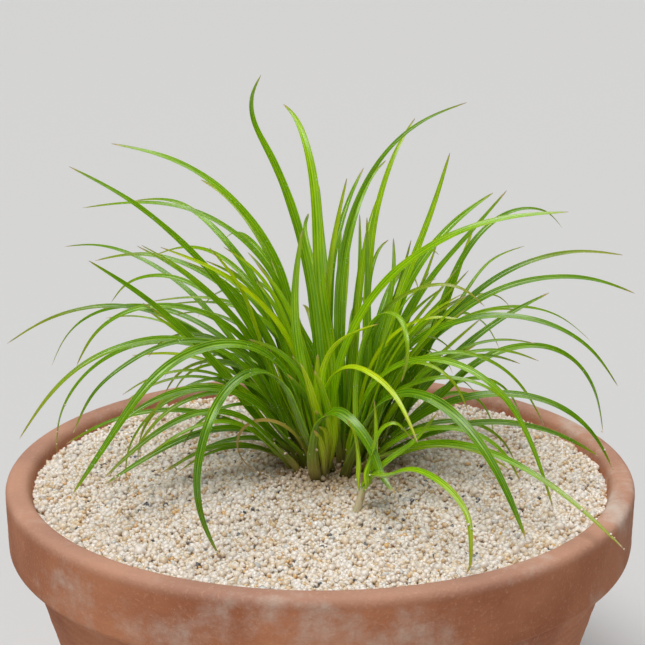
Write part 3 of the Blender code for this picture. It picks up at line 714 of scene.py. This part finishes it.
def blade_surface(runs, nature, form, pick):
    """Points, faces, values and UV places of blades along these runs.

    nature gives each its youth, how yellow its point is and how far its sheath reaches. Every point carries
    marks, which are the sheath, the dry point and the fade, and the blade's youth, a chance and its face.
    """
    a, under = across_blade()
    columns = len(a)
    points, faces, marks, natures, places = [], [], [], [], []
    first = 0
    for middles, sides, width, known in runs:
        youth, yellow, reach = nature(middles, pick)
        if known is not None:
            youth, yellow = known, 0.0
        grid, at = grown(middles, sides, width * pick.uniform(0.95, 1.05), form, pick.uniform(0.0, 6.3))
        rows = len(grid)
        points.append(np.concatenate([grid.reshape(-1, 3), grid[[0, -1]].mean(axis=1)]))
        faces.append([first + block[:, ::-1] for block in capped_faces(rows, columns)])
        to_tip = at[-1] - at
        point = np.clip(1.0 - to_tip / pick.uniform(*DRY_POINT), 0.0, 1.0)
        above_root = np.maximum(at - ROOTED, 0.0)
        sheath = min(reach, 1.0) * np.exp(-above_root / (reach * pick.uniform(0.7, 1.3)))
        fade = np.clip(1.0 - to_tip / (FADE_LENGTH + YELLOW_LENGTH * yellow), 0.0, 1.0) * (0.4 + 0.6 * yellow)
        along = np.stack([sheath, point, fade], axis=1)
        marks.append(np.concatenate([np.repeat(along, columns, axis=0), along[[0, -1]]]))
        own = np.tile(np.array([youth, pick.uniform(0.0, 1.0), 0.0]), (rows * columns + 2, 1))
        own[:-2, 2] = np.tile(under, rows)
        natures.append(own)
        uv = np.broadcast_arrays((a[None] + 1.0) / 2.0, at[:, None] / MAP_LENGTH)
        ends = [[0.5, 0.0], [0.5, at[-1] / MAP_LENGTH]]
        places.append(np.concatenate([np.stack(uv, axis=-1).reshape(-1, 2), ends]))
        first += rows * columns + 2
    blocks = [np.concatenate([block[kind] for block in faces]) for kind in range(3)]
    values = [("marks", np.concatenate(marks)), ("nature", np.concatenate(natures))]
    return np.concatenate(points), blocks, values, np.concatenate(places)


# Greens from old to young, then a tiring leaf, the sheath, the veins with painted highlight on their ridges,
# the grooves with painted shade, both partly the leaf's own pattern, the foot's old brown with painted shade
# between the feet, the lower face, the dry point and the dust
OLD_GREEN = (0.060, 0.172, 0.0003)
MID_GREEN = (0.270, 0.525, 0.0003)
LIME_GREEN = (0.700, 0.960, 0.0003)
YELLOWING = (0.46, 0.44, 0.04)
SHEATH_OLIVE = (0.115, 0.125, 0.006)
SHEATH_TAN = (0.38, 0.30, 0.09)
# Paler green of the midrib and the vein ridges; on the ridges it is partly their own tone, partly painted
# highlight
RIDGE_GREEN = (0.66, 0.88, 0.01)
# Darker green of the grooves between the veins: partly their own pattern, partly painted shade
GROOVE_SHADE_GREEN = (0.030, 0.120, 0.0003)
# Dark brown of the lowest leaf feet: partly old bases, partly painted shade between the crowded feet
FOOT_BROWN_AND_SHADE = (0.050, 0.042, 0.006)
UNDERSIDE_GREEN = (0.28, 0.46, 0.03)
DRY_TAN = (0.78, 0.52, 0.15)
DUST_WHITE = (0.72, 0.78, 0.62)
VEINS = 4
VEIN_DEPTH = 0.09

living = Finish("living leaf", Specular_IOR_Level=0.40, Specular_Tint=(0.72, 1.0, 0.22, 1.0),
                Coat_Weight=0.65, Coat_Roughness=0.25, Subsurface_Weight=0.5, Subsurface_Scale=MM,
                Subsurface_Radius=(0.5, 0.9, 0.15))
marks = living.carried("marks")
sheath, point, fade = (living.part(marks, axis) for axis in "XYZ")
nature = living.carried("nature")
youth, chance, under = (living.part(nature, axis) for axis in "XYZ")
where = living.add("ShaderNodeUVMap", {"uv_map": "blade"}, {}, output="UV")
across, along = (living.part(where, axis) for axis in "XY")
lines = living.add("ShaderNodeCombineXYZ", {}, {"X": across * 9.0, "Y": along * 12.0, "Z": chance * 40.0})
streaks = living.noise(lines, scale=1.6, roughness=0.6)
broad = living.add("ShaderNodeCombineXYZ", {}, {"X": across, "Y": along * 14.0, "Z": chance * 90.0})
patches = living.noise(broad, scale=1.2)
veins = living.add("ShaderNodeMath", {"operation": "COSINE"}, {0: across * (2.0 * math.pi * VEINS)})
veins = veins * 0.5 + 0.5
off_middle = living.add("ShaderNodeMath", {"operation": "ABSOLUTE"}, {0: across - 0.5})
rib = living.eased(off_middle, 0.10, 0.03) * (1.0 - under)
ridges = living.eased(veins, 0.62, 0.96)
grooves = living.eased(veins, 0.34, 0.0)
margin = living.eased(off_middle, 0.42, 0.495)
stops = ((0.0, OLD_GREEN), (0.5, MID_GREEN), (1.0, LIME_GREEN))
age = youth + (patches - 0.5) * 0.50 + (streaks - 0.5) * 0.40 + margin * 0.08
green = living.add("ShaderNodeValToRGB", {"stops": stops}, {"Fac": age})
papery = living.eased(streaks + chance * 0.5, 0.50, 0.86)
spot = living.add("ShaderNodeTexVoronoi", {}, {"Vector": living.place(), "Scale": 1500.0})
fields = living.noise(living.place(), scale=160.0, detail=2.0)
dust = living.eased(spot, 0.26, 0.14) * living.eased(fields, 0.56, 0.70) * 0.6
for cover, colour in (
    # Pale vein ridges and dark grooves: partly the leaf's own pattern, partly painted highlight and shade
    (ridges * 0.12 + rib * (0.08 + 0.26 * youth), RIDGE_GREEN),
    (grooves * 0.32, GROOVE_SHADE_GREEN),
    (under * 0.20, UNDERSIDE_GREEN),
    (fade * 0.8, YELLOWING),
    (living.eased(sheath, 0.12, 0.85) * 0.92, living.mixed(papery, SHEATH_OLIVE, SHEATH_TAN)),
    # The feet go dark brown: partly old bases, partly painted shade between them
    (living.eased(sheath, 0.60, 0.98) * 0.8, FOOT_BROWN_AND_SHADE),
    (living.eased(point, 0.05, 0.75), DRY_TAN),
    (dust, DUST_WHITE),
):
    green = living.mixed(cover, green, colour)
gloss = living.noise(lines, scale=3.0, detail=2.0)
living.feed(Base_Color=green, Roughness=gloss * 0.14 + dust * 0.3 + 0.20)
living.bump(veins * 0.9 + streaks * 0.4 - rib * 0.4 + dust * 1.0, VEIN_DEPTH)


grown_pieces = []


def grow(name, runs, nature, form="ring", finish=living):
    """A finished piece of blades along these runs."""
    pick = np.random.default_rng(sum(map(ord, name)) * 7)
    piece = surface(name, finish, *blade_surface(runs, nature, form, pick))
    grown_pieces.append(piece)
    return piece


def aged(low, high, yellow, reach=SHEATH_REACH):
    """A rule for a blade's nature: its youth between low and high, and the chance of a yellow point."""
    def nature(middles, pick):
        return pick.uniform(low, high), pick.uniform(0.2, 1.0) * (pick.uniform() < yellow), reach
    return nature


def grow_leaves(kind, count, fitted, nature):
    """A finished blade on each packed leaf of one kind, numbered from 1, and the runs of them all."""
    runs = []
    for number in range(1, count + 1):
        node = kind % number
        runs += blade_runs(node, {0: fitted.get(number, AS_PACKED)})
        leaf = grow(node + "_blade", runs[-1:], nature)
        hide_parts(node)
    return runs


arching_runs = grow_leaves("arching_leaf_%02d", 17, ARCHING_LEAVES, aged(0.08, 0.44, 0.3))


# The low leaves
# The oldest and outermost leaves, the darkest, which arch low over the sand and the pot's rim. Many of their
# points have turned yellow.
LOW_LEAVES = {
    1: (1, ((0.5, -0.3, 0.5), (0.8, -1.2, 0.5), (1, -1.1, 0))),
    2: (1, ((0.6, 0, 0), (1, 0, -1))),
    3: (1, ((0.5, -0.5, -1), (0.75, 0, -1.2), (1, -0.6, -1))),
    5: (1, ((0.35, -1, -1), (0.6, 0, -1), (0.8, 0, -0.6), (1, 0, -0.9))),
    6: (1, ((0.5, 0, -0.5), (0.75, 0, -0.9), (0.9, 1.2, -0.8), (1, 1.8, 0))),
    8: (1, ((0.5, 0, -0.3), (0.75, -0.8, -0.3), (0.9, -1.8, 0.5), (1, -1, 2))),
    10: (1, (
        (0, -1.8, 0, -0.8), (0.1, -1.8, -0.4, -0.5), (0.2, -1, -1.2), (0.31, -0.4, -1.3), (0.45, 0, -0.5),
        (0.6, 0, 0))),
    11: (1, ((0.35, 0, -0.4), (0.55, 0, -1.1), (0.75, 0.9, -0.8), (1, 1.5, 0)), 0.16),
    12: (1, ((0.5, -0.5, 0), (0.65, -1.3, 0), (0.85, -2, 0), (1, -0.5, -1)), 0.08),
    13: (1.05, (
        (0, -2.6, 0, -2.2), (0.25, -3.2, 0.6, -2.4), (0.5, -2.2, 1.4, -1), (0.75, -1.9, 0),
        (1, -2.1, 0)), 0.14),
    14: (1, ((0, -1.5, 0, -1), (0.08, -0.8, 0, -0.5), (0.15, 0, 0), (0.8, -0.3, 0), (1, -1.4, 0)), 0.1),
    16: (1, ((0.5, 0, -0.8), (0.7, 0, -0.9), (0.85, -0.9, -0.4), (1, -1.7, 0))),
    17: (1, ((0.35, 0, -1.8), (0.5, 0, -1.8), (0.65, 0, -0.8), (0.8, 0, 0), (1, -0.6, 0))),
    20: (1, ((0.6, 0, 0.4), (0.85, -1.2, 0.5), (1, -1.7, 2))),
    21: (1, ((0.5, 0, 0.3), (0.7, 0, 0.5), (0.85, 0, 0.1), (1, 0, -0.2))),
}
low_runs = grow_leaves("low_leaf_%02d", 26, LOW_LEAVES, aged(0.0, 0.32, 0.45))


# The tall leaves
# The long upright blades of the middle, in their full growth, which stand nearly straight up from the tuft.
TALL_LEAVES = {
    1: (1.25, (
        (0.3, -0.9, 0), (0.5, -0.5, 0), (0.7, 0.4, 0), (0.82, 0, 0), (0.91, -1.6, 0), (1, -1.6, -0.4)), 0.4),
    2: (1.2, ((0.25, 0.8, 0), (0.45, -0.9, 0), (0.6, -1, 0), (0.8, -0.4, 0), (1, -0.3, 0)), 0.58),
    3: (0.85, ((0.5, -0.3, 0), (0.7, -1, 0), (0.85, -1.2, 0), (1, 0, 0)), 0.16),
    4: (1.15, ((0.35, -1, -0.5), (0.55, -1, 0.1), (0.75, -0.6, 0.3), (1, -1, -0.2)), 0.5),
    5: (1, ((0.35, -3.3, 0), (0.65, -2, -1.6), (0.85, -1.2, -1.2), (1, -2.3, -0.3)), 0.4),
    6: (1, ((0.2, -0.3, 0), (0.4, -1.9, 0), (0.7, -3.2, 0), (1, -3.8, 0)), 0.62),
    7: (1, (
        (0, 2.2, 0.4, -3), (0.25, 2.2, 0.5, -3.2), (0.4, 1.3, 0.2, -2), (0.6, 0.5, 0), (0.8, 1.2, 0),
        (1, 0.5, -1.2)), 0.85),
    8: (1, ((0.35, 2, -1), (0.6, 4, -4), (0.8, 5, -7), (1, 2.5, -8.5)), 0.55),
}
grow_leaves("tall_leaf_%d", 8, TALL_LEAVES, aged(0.36, 0.56, 0.2))


# The side shoot's long leaf
# The offset plant at the front right has one long leaf. It comes out of the fork of the plant's stem and
# arches down over the pot's rim.
SHOOT_FOOT = (8.2, -19.4, 0.96, 7.5)
SHOOT_SHEATH = 0.05
FORK = ((7.6, -19.5, 62.4), (8.8, -19.5, 65.4))
LONG_LEAF = (1, ((0.2, 0, 1.2), (0.29, 0.3, 2), (0.46, 1.4, 1.1), (0.6, 2.4, 0), (0.8, 2.4, 0), (1, 0, 0)))
runs = blade_runs("side_shoot_leaf", {0: LONG_LEAF}, (SHOOT_FOOT,), FORK)
long_leaf = grow("side_shoot_leaf_blade", runs, aged(0.40, 0.50, 1.0, SHOOT_SHEATH), "shoot")
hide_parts("side_shoot_leaf")


# The thatch
# Thinner, shorter leaves crowd between the outer ones at the sides and the back. Each follows an outer leaf,
# turned a little round the tuft, and the front stays open.
THATCH_PER_LEAF = 2
THATCH_TURN = 0.32
THATCH_SIZE = (0.50, 0.76)
THATCH_WIDTH = (0.6, 0.8)
OPEN_FRONT = (200.0, 335.0)
tuft = np.array([CLUMP_X, CLUMP_Y, SAND_HEIGHT])
pick = np.random.default_rng(41)
thatch = {"left": [], "right": []}
for run in arching_runs + low_runs:
    for _ in range(THATCH_PER_LEAF):
        size = pick.uniform(*THATCH_SIZE)
        turn = pick.uniform(-THATCH_TURN, THATCH_TURN)
        middles, *rest = turned_run(run, tuft, turn, 1.0, None, pick.uniform(*THATCH_WIDTH))
        middles = middles[0] + (middles - middles[0]) * size
        reach = middles[-1] - tuft
        heading = math.degrees(math.atan2(reach[1], reach[0])) % 360.0
        if not OPEN_FRONT[0] < heading < OPEN_FRONT[1]:
            thatch["left" if reach[0] < 0.0 else "right"].append((middles, *rest))
for side in ("left", "right"):
    grow("thatch_" + side, thatch[side], aged(0.05, 0.55, 0.3))


# The dead leaf
# One small old leaf has died at the front left. It has dried to a thin tan ribbon, curled down to the sand.
DEAD_LEAF = (0.85, ((0.5, -0.5, -0.2), (1, 0, 0.2)))
withered = Finish("withered leaf", Roughness=0.7, Specular_IOR_Level=0.2)
where = withered.add("ShaderNodeUVMap", {"uv_map": "blade"}, {}, output="UV")
dry_streaks = withered.noise(where, scale=26.0, roughness=0.6)
walked = withered.part(where, "Y")
stops = ((0.10, (0.12, 0.16, 0.008)), (0.45, (0.30, 0.28, 0.03)), (0.62, (0.42, 0.30, 0.06)),
         (0.95, (0.48, 0.33, 0.12)))
dryness = walked * 3.2 + (dry_streaks - 0.5) * 0.5
withered.feed(Base_Color=withered.add("ShaderNodeValToRGB", {"stops": stops}, {"Fac": dryness}))
withered.bump(dry_streaks, 0.08)
runs = blade_runs("low_leaf_27", {0: DEAD_LEAF})
dead = grow("dead_leaf", runs, aged(0.0, 0.1, 0.0), finish=withered)
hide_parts("low_leaf_27")


# The crowns
# Four crowns make up the clump. In each, young leaves sheathe one another round one growing point, so they
# run down to one root under the sand. In all but the front one, shorter ones fill the room between them.
YOUNG_SHEATH = 3.5
FRONT_SHEATH = 7.0
BUNDLE_FOOT = (0.5, -4.5, 0.80, 13.0)
FRONT_FACING = 1.6
LIME_LOST = 0.006
FILLER_SCALE = 0.92
FILLER_TURN = (0.16, 0.5)
FILLER_KEPT = (0.40, 0.66)
FILLER_WIDTH = (0.65, 0.85)
LEFT_CROWN = {
    1: (1, ((0.35, 0, 1.2), (0.5, 0, 2.6), (0.6, 0, 3), (0.8, 0, 4), (1, -1.2, 3.8))),
    2: (1.35, (
        (0.45, -1.3, 0), (0.6, -1.7, 0), (0.7, -1.7, 0), (0.8, -1, 0.4), (0.9, -1.2, 1.8),
        (1, -4, 2.2)), 0.35),
    3: (1.1, ((0.6, 0, 0.5), (0.7, 0, 1.4), (0.8, 0, 1.2), (0.9, 0, 1.1), (1, -1.8, 1.5)), 0.8),
    4: (1, ((0.6, 0, 0), (1, 1.2, -3))),
    6: (1, ((0.5, 0, -1), (0.8, 1, -3.5), (1, 1.5, -6))),
    9: (1.3, (
        (0.3, -1.5, 0), (0.45, -2.8, 0), (0.6, -3.2, 0), (0.8, -3.2, 0), (0.9, -2.6, 0),
        (1, -2.9, 1.2)), 0.8),
    10: (1, ((0.6, 0, -0.5), (0.8, 0, -2), (1, 0.5, -5))),
    13: (1, ((0.6, 0, -1), (0.8, 0.8, -4.5), (1, 2, -9))),
}
FRONT_CROWN = {
    0: (1, (), 0.4),
    1: (1, (), 0.2),
    2: (1, (), 0.35),
    3: (1.35, ((0.3, 0, 0, -1), (0.6, 0, 0, -4.5), (0.8, 0, 0.6, -5.5), (1, 1.6, -1.1, -5.5)), 1),
    4: (1, ((0.3, -0.3, 0), (0.6, 0, 0), (1, 0.8, -1.3)), 0.85),
    5: (1, ((0.3, -1.4, 0), (0.55, -3, 0), (0.75, -3.3, 0), (0.9, -2.6, 0), (1, -2.3, -2.1)), 0.55),
    6: (1, (), 0.85),
    8: (1, ((0.5, -0.3, -1.5, -2), (1, 0, -4))),
    9: (1, ((0.5, -0.3, -1, -2), (1, -1, -3))),
    10: (1, ((0.5, -0.3, -1, -2), (1, -1, -4))),
    11: (1, ((0.5, -0.3, -1, -2), (1, 0, -4))),
    12: (1, ((0.5, -0.3, -1, -2), (1, 1, -4))),
    13: (1.25, (
        (0.25, -1, 0), (0.45, -1.6, 0, -1), (0.6, -2, -0.3, -0.5), (0.75, -2.5, -0.6), (0.87, -2.9, -1.5),
        (1, -2.1, -1.1)), 1),
}
RIGHT_CROWN = {
    0: (1, ((0.6, 0, 0), (0.85, -0.9, -1.5), (1, -0.7, -2.2))),
    1: (1, ((0.6, 0, -1), (1, 0, -2.5))),
    2: (1, ((0.6, 0, -1.5), (1, 0, -4))),
    3: (1, ((0.6, 0, -1.5), (1, -1, -4))),
    4: (1, ((0.6, 0, -1.5), (1, 0, -5))),
    6: (1, ((0.6, 0, -1.5), (1, 0, -5))),
    9: (1.3, ((0.3, 2, 0.5), (0.5, 4, 2), (0.7, 4.2, 3), (0.85, 3.8, 2.6), (1, 3, 1.8)), 0.65),
}
BACK_CROWN = {
    1: (1, ((0.5, -2.5, 0), (0.7, -4, -0.5), (0.8, -2.7, -2.3), (0.9, -0.8, -3), (1, 0.5, -2.8))),
    2: (1.15, ((0.5, -1.4, -0.5), (0.7, -0.4, -1), (0.85, 1.2, -2), (1, 3, -3)), 0.85),
    4: (1, ((0.6, 0, 0), (1, 0, -4))),
    5: (1.25, ((0.45, -4.2, 0), (0.65, -3.3, 0), (0.85, -1, -0.3), (1, 1.1, -0.7)), 0.3),
    6: (1, ((0.6, 0, 0), (0.8, 1, 0), (1, 1.8, -1))),
    7: (1, ((0.6, -0.1, 0), (0.8, -1.6, 0), (1, -4, 0))),
    8: (1, ((0.6, -0.3, 0), (1, -1.5, -1.4))),
    9: (1, ((0.5, 2.5, 0), (0.8, 3, 0), (1, -1.9, 1.5))),
    10: (1, ((0.5, -1.5, 0), (0.75, -2.8, 0), (1, -3.9, -0.5))),
    11: (1, ((0.5, 1, -4), (1, 3.5, -12))),
    12: (1, (
        (0.3, 1.5, -2), (0.45, 3.5, -4.5), (0.6, 4.8, -6.6), (0.7, 4.4, -6.6), (0.8, 3.5, -6.6),
        (0.9, 1.8, -6.6), (1, 3.3, -6)), 0.3),
}
# How lime each crown's leaves are, their width and length beside the imported ones', how far up their sheaths
# reach, and its leaves fitted one by one
CROWNS = {
    "heart_left": (0.90, 0.86, 0.93, YOUNG_SHEATH, LEFT_CROWN),
    "heart_front": (1.20, 1.20, 1.0, FRONT_SHEATH, FRONT_CROWN),
    "heart_right": (0.90, 0.84, 0.92, YOUNG_SHEATH, RIGHT_CROWN),
    "heart_back": (0.85, 0.80, 1.0, YOUNG_SHEATH, BACK_CROWN),
}


def young(lime, reach):
    """A rule for a crown leaf's nature: the shorter the leaf, the more of a growing one's lime it shows."""
    def nature(middles, pick):
        youth = lime - LIME_LOST * walked_along(middles)[-1] + pick.uniform(-0.30, 0.20)
        return float(np.clip(youth, 0.12, 1.0)), 0.0, reach
    return nature


def faced(sides, share):
    """Side directions turned by a share towards the left or the right, which opens a blade to the front."""
    return sides + share * np.sign(sides[:, :1].sum()) * np.array([1.0, 0.0, 0.0])


pick = np.random.default_rng(23)
for node, (lime, wider, longer, reach, fitted) in CROWNS.items():
    front = node == "heart_front"
    feet = (TUFT_FOOT, BUNDLE_FOOT) if front else (TUFT_FOOT,)
    runs = blade_runs(node, fitted, feet, wider=wider, from_crown=True)
    root = np.mean([run[0][0] for run in runs], axis=0)
    runs = [(root + (middles - root) * longer, faced(sides, FRONT_FACING * front), *rest)
            for middles, sides, *rest in runs]
    for run in [] if front else runs[:]:
        angle = pick.choice([-1.0, 1.0]) * pick.uniform(*FILLER_TURN)
        kept = max(6, round(len(run[0]) * pick.uniform(*FILLER_KEPT)))
        runs.append(turned_run(run, root, angle, FILLER_SCALE, kept, pick.uniform(*FILLER_WIDTH)))
    leaves = grow(node + "_leaves", runs, young(lime, reach), "crown")
    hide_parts(node)


# The side shoot's young leaves
# Four short leaves that come out of the offset plant's stem at its fork, two of them bending over at once.
SHOOT_LEAVES = {
    0: (1, ((0.3, 0, 0), (0.5, 0.7, 0), (0.7, 0.7, 0), (1, 1.5, 0.3))),
    1: (1, ((0.2, 0, 0), (0.47, 1.1, 0), (0.67, 0.2, 0), (0.84, -1.3, 0.4), (1, -3.5, 1.5))),
    2: (1, ((0.5, 0, 0), (0.74, 0, 0.5), (0.84, -0.2, -0.3), (0.92, -0.6, -2.2), (1, -0.9, -2.8))),
    3: (1, ((0.25, 0, 0), (0.48, 0, -1.3), (0.73, 0, -3), (1, -0.9, -2.4))),
}
runs = blade_runs("side_shoot", SHOOT_LEAVES, (SHOOT_FOOT,), FORK[:1], wider=0.75, from_crown=True)
shoot_leaves = grow("side_shoot_leaves", runs, young(0.75, SHOOT_SHEATH), "shoot")
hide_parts("side_shoot")


# The side shoot's stem
# The offset plant stands on a short pale stem of old sheaths wrapped round one another, round its leaves. The
# stem's line is a quadratic curve, and its section a circle with three low waves.
STEM_POINTS = ((6.4, -19.7, 56.8), (7.4, -19.6, 61.5), (9.3, -19.3, 66.4))
STEM_RADII = (0.90, 0.78, 0.55)
STEM_PARTS = 16
STEM_ROWS = 22
STEM_BEIGE = (0.66, 0.58, 0.38)
STEM_GREEN = (0.34, 0.44, 0.10)
share = np.linspace(0.0, 1.0, STEM_ROWS)[:, None]
low, half_way, high = np.array(STEM_POINTS)
stem_line = low * (1 - share) ** 2 + 2 * half_way * share * (1 - share) + high * share ** 2
angle = np.linspace(0.0, 2.0 * math.pi, STEM_PARTS, endpoint=False)
girth = np.interp(share, (0.0, 0.5, 1.0), STEM_RADII) * (1.0 + 0.09 * np.cos(3.0 * angle + 2.5 * share))
ring = np.stack([girth * np.cos(angle), girth * np.sin(angle), 0.5 * share * np.cos(angle)], axis=-1)
points = np.concatenate([(stem_line[:, None] + ring).reshape(-1, 3), stem_line[[0, -1]]])
husk = Finish("pale sheath", Roughness=0.45, Subsurface_Weight=0.4, Subsurface_Scale=MM)
place = husk.place()
height = husk.part(place, "Z")
stretched = husk.add("ShaderNodeMapping", {}, {"Vector": place, "Scale": (1.0, 1.0, 0.16)})
fibres = husk.noise(stretched, scale=1400.0, detail=2.0)
skin = husk.mixed(husk.eased(height, 60.5 * MM, 65.5 * MM) * 0.8, STEM_BEIGE, STEM_GREEN)
husk.feed(Base_Color=husk.mixed(husk.eased(fibres, 0.45, 0.70) * 0.55, skin, SHEATH_TAN))
husk.bump(fibres, 0.12)
stem = surface("side_shoot_stem", husk, points, capped_faces(STEM_ROWS, STEM_PARTS))


# The stuck grains
# Fine grains cling to the damp feet of the leaves, and more lie banked against them.
CLINGING_PER_PIECE = 12
CLINGING_SIZE = 0.36
CLINGING_OUT = 0.12
CLINGING_FADE = 3.0
CLINGING_TOP = 72.0
BANKED_PER_PIECE = 9
BANKED_SIZE = 0.9
BANKED_HEIGHT = 1.5

pick = np.random.default_rng(5)
clinging, banked = [], []
for piece in grown_pieces:
    if not piece.name.startswith("thatch"):
        read = np.empty((2, len(piece.data.vertices) * 3))
        piece.data.vertices.foreach_get("co", read[0])
        piece.data.vertex_normals.foreach_get("vector", read[1])
        spots, facing = read[0].reshape(-1, 3) / MM, read[1].reshape(-1, 3)
        above = spots[:, 2] - sand_top(spots[:, 0], spots[:, 1])
        chance = np.exp(-above / CLINGING_FADE) * (above > 0.4) * (spots[:, 2] < CLINGING_TOP)
        chosen = pick.choice(len(spots), CLINGING_PER_PIECE, p=chance / chance.sum())
        clinging.append(spots[chosen] + facing[chosen] * CLINGING_OUT)
        chance = ((above > 0.0) & (above < BANKED_HEIGHT)) + 1e-9
        chosen = pick.choice(len(spots), BANKED_PER_PIECE, p=chance / chance.sum())
        beside = spots[chosen] + facing[chosen] * pick.uniform(0.2, 1.1, (BANKED_PER_PIECE, 1))
        beside[:, 2] = sand_top(beside[:, 0], beside[:, 1]) + pick.uniform(0.1, 0.9, BANKED_PER_PIECE)
        banked.append(beside)
add_grains("sand_grains_clinging", np.concatenate(clinging), pick, smaller=CLINGING_SIZE)
add_grains("sand_grains_banked", np.concatenate(banked), pick, smaller=BANKED_SIZE)


# The light, the floor and the camera
# A pale floor under a broad soft light from above, as in a small product studio, seen a little from above.
FLOOR_REACH = 16.0
FLOOR_GREY = (0.62, 0.617, 0.61, 1.0)
ROOM_GLOW = 0.07
# Each light's name, strength, spread in degrees and direction
SUNS = (
    ("key", 2.07, 30.0, (0.24, 0.36, -1.0)),
    ("back", 1.20, 50.0, (-0.12, -0.45, -1.0)),
    ("front", 0.45, 60.0, (0.10, 0.90, -0.45)),
)
CAMERA_PLACE = (0.0005, -0.275, 0.164)
CAMERA_DOWN = 15.0
SENSOR_WIDTH = 36.0
PHOTO_PIXELS = 645.0
FOCAL_PIXELS = 1454.0
corners = [(x * FLOOR_REACH, y * FLOOR_REACH, 0.0) for x, y in ((-1, -1), (1, -1), (1, 1), (-1, 1))]
floor_mesh = bpy.data.meshes.new("floor")
floor_mesh.from_pydata(corners, [], [(0, 1, 2, 3)])
floor = bpy.data.objects.new("floor", floor_mesh)
bpy.context.collection.objects.link(floor)
card = Finish("pale floor", Roughness=0.9, Base_Color=FLOOR_GREY)
floor_mesh.materials.append(card.material)

world = bpy.data.worlds.new("studio")
bpy.context.scene.world = world
world.use_nodes = True
world.node_tree.nodes["Background"].inputs["Color"].default_value = (1.0, 1.0, 1.0, 1.0)
world.node_tree.nodes["Background"].inputs["Strength"].default_value = ROOM_GLOW

for name, energy, spread, shines in SUNS:
    light = bpy.data.lights.new(name, "SUN")
    light.energy = energy
    light.angle = math.radians(spread)
    lamp = bpy.data.objects.new(name, light)
    lamp.rotation_euler = Vector(shines).to_track_quat("-Z", "Y").to_euler()
    bpy.context.collection.objects.link(lamp)

view = bpy.data.cameras.new("camera")
view.sensor_width = SENSOR_WIDTH
view.lens = SENSOR_WIDTH * FOCAL_PIXELS / PHOTO_PIXELS
view.clip_start = 0.01
view.clip_end = 50.0
camera = bpy.data.objects.new("camera", view)
camera.location = CAMERA_PLACE
camera.rotation_euler = (math.radians(90.0 - CAMERA_DOWN), 0.0, 0.0)
bpy.context.collection.objects.link(camera)
bpy.context.scene.camera = camera
bpy.context.scene.view_settings.view_transform = "Standard"
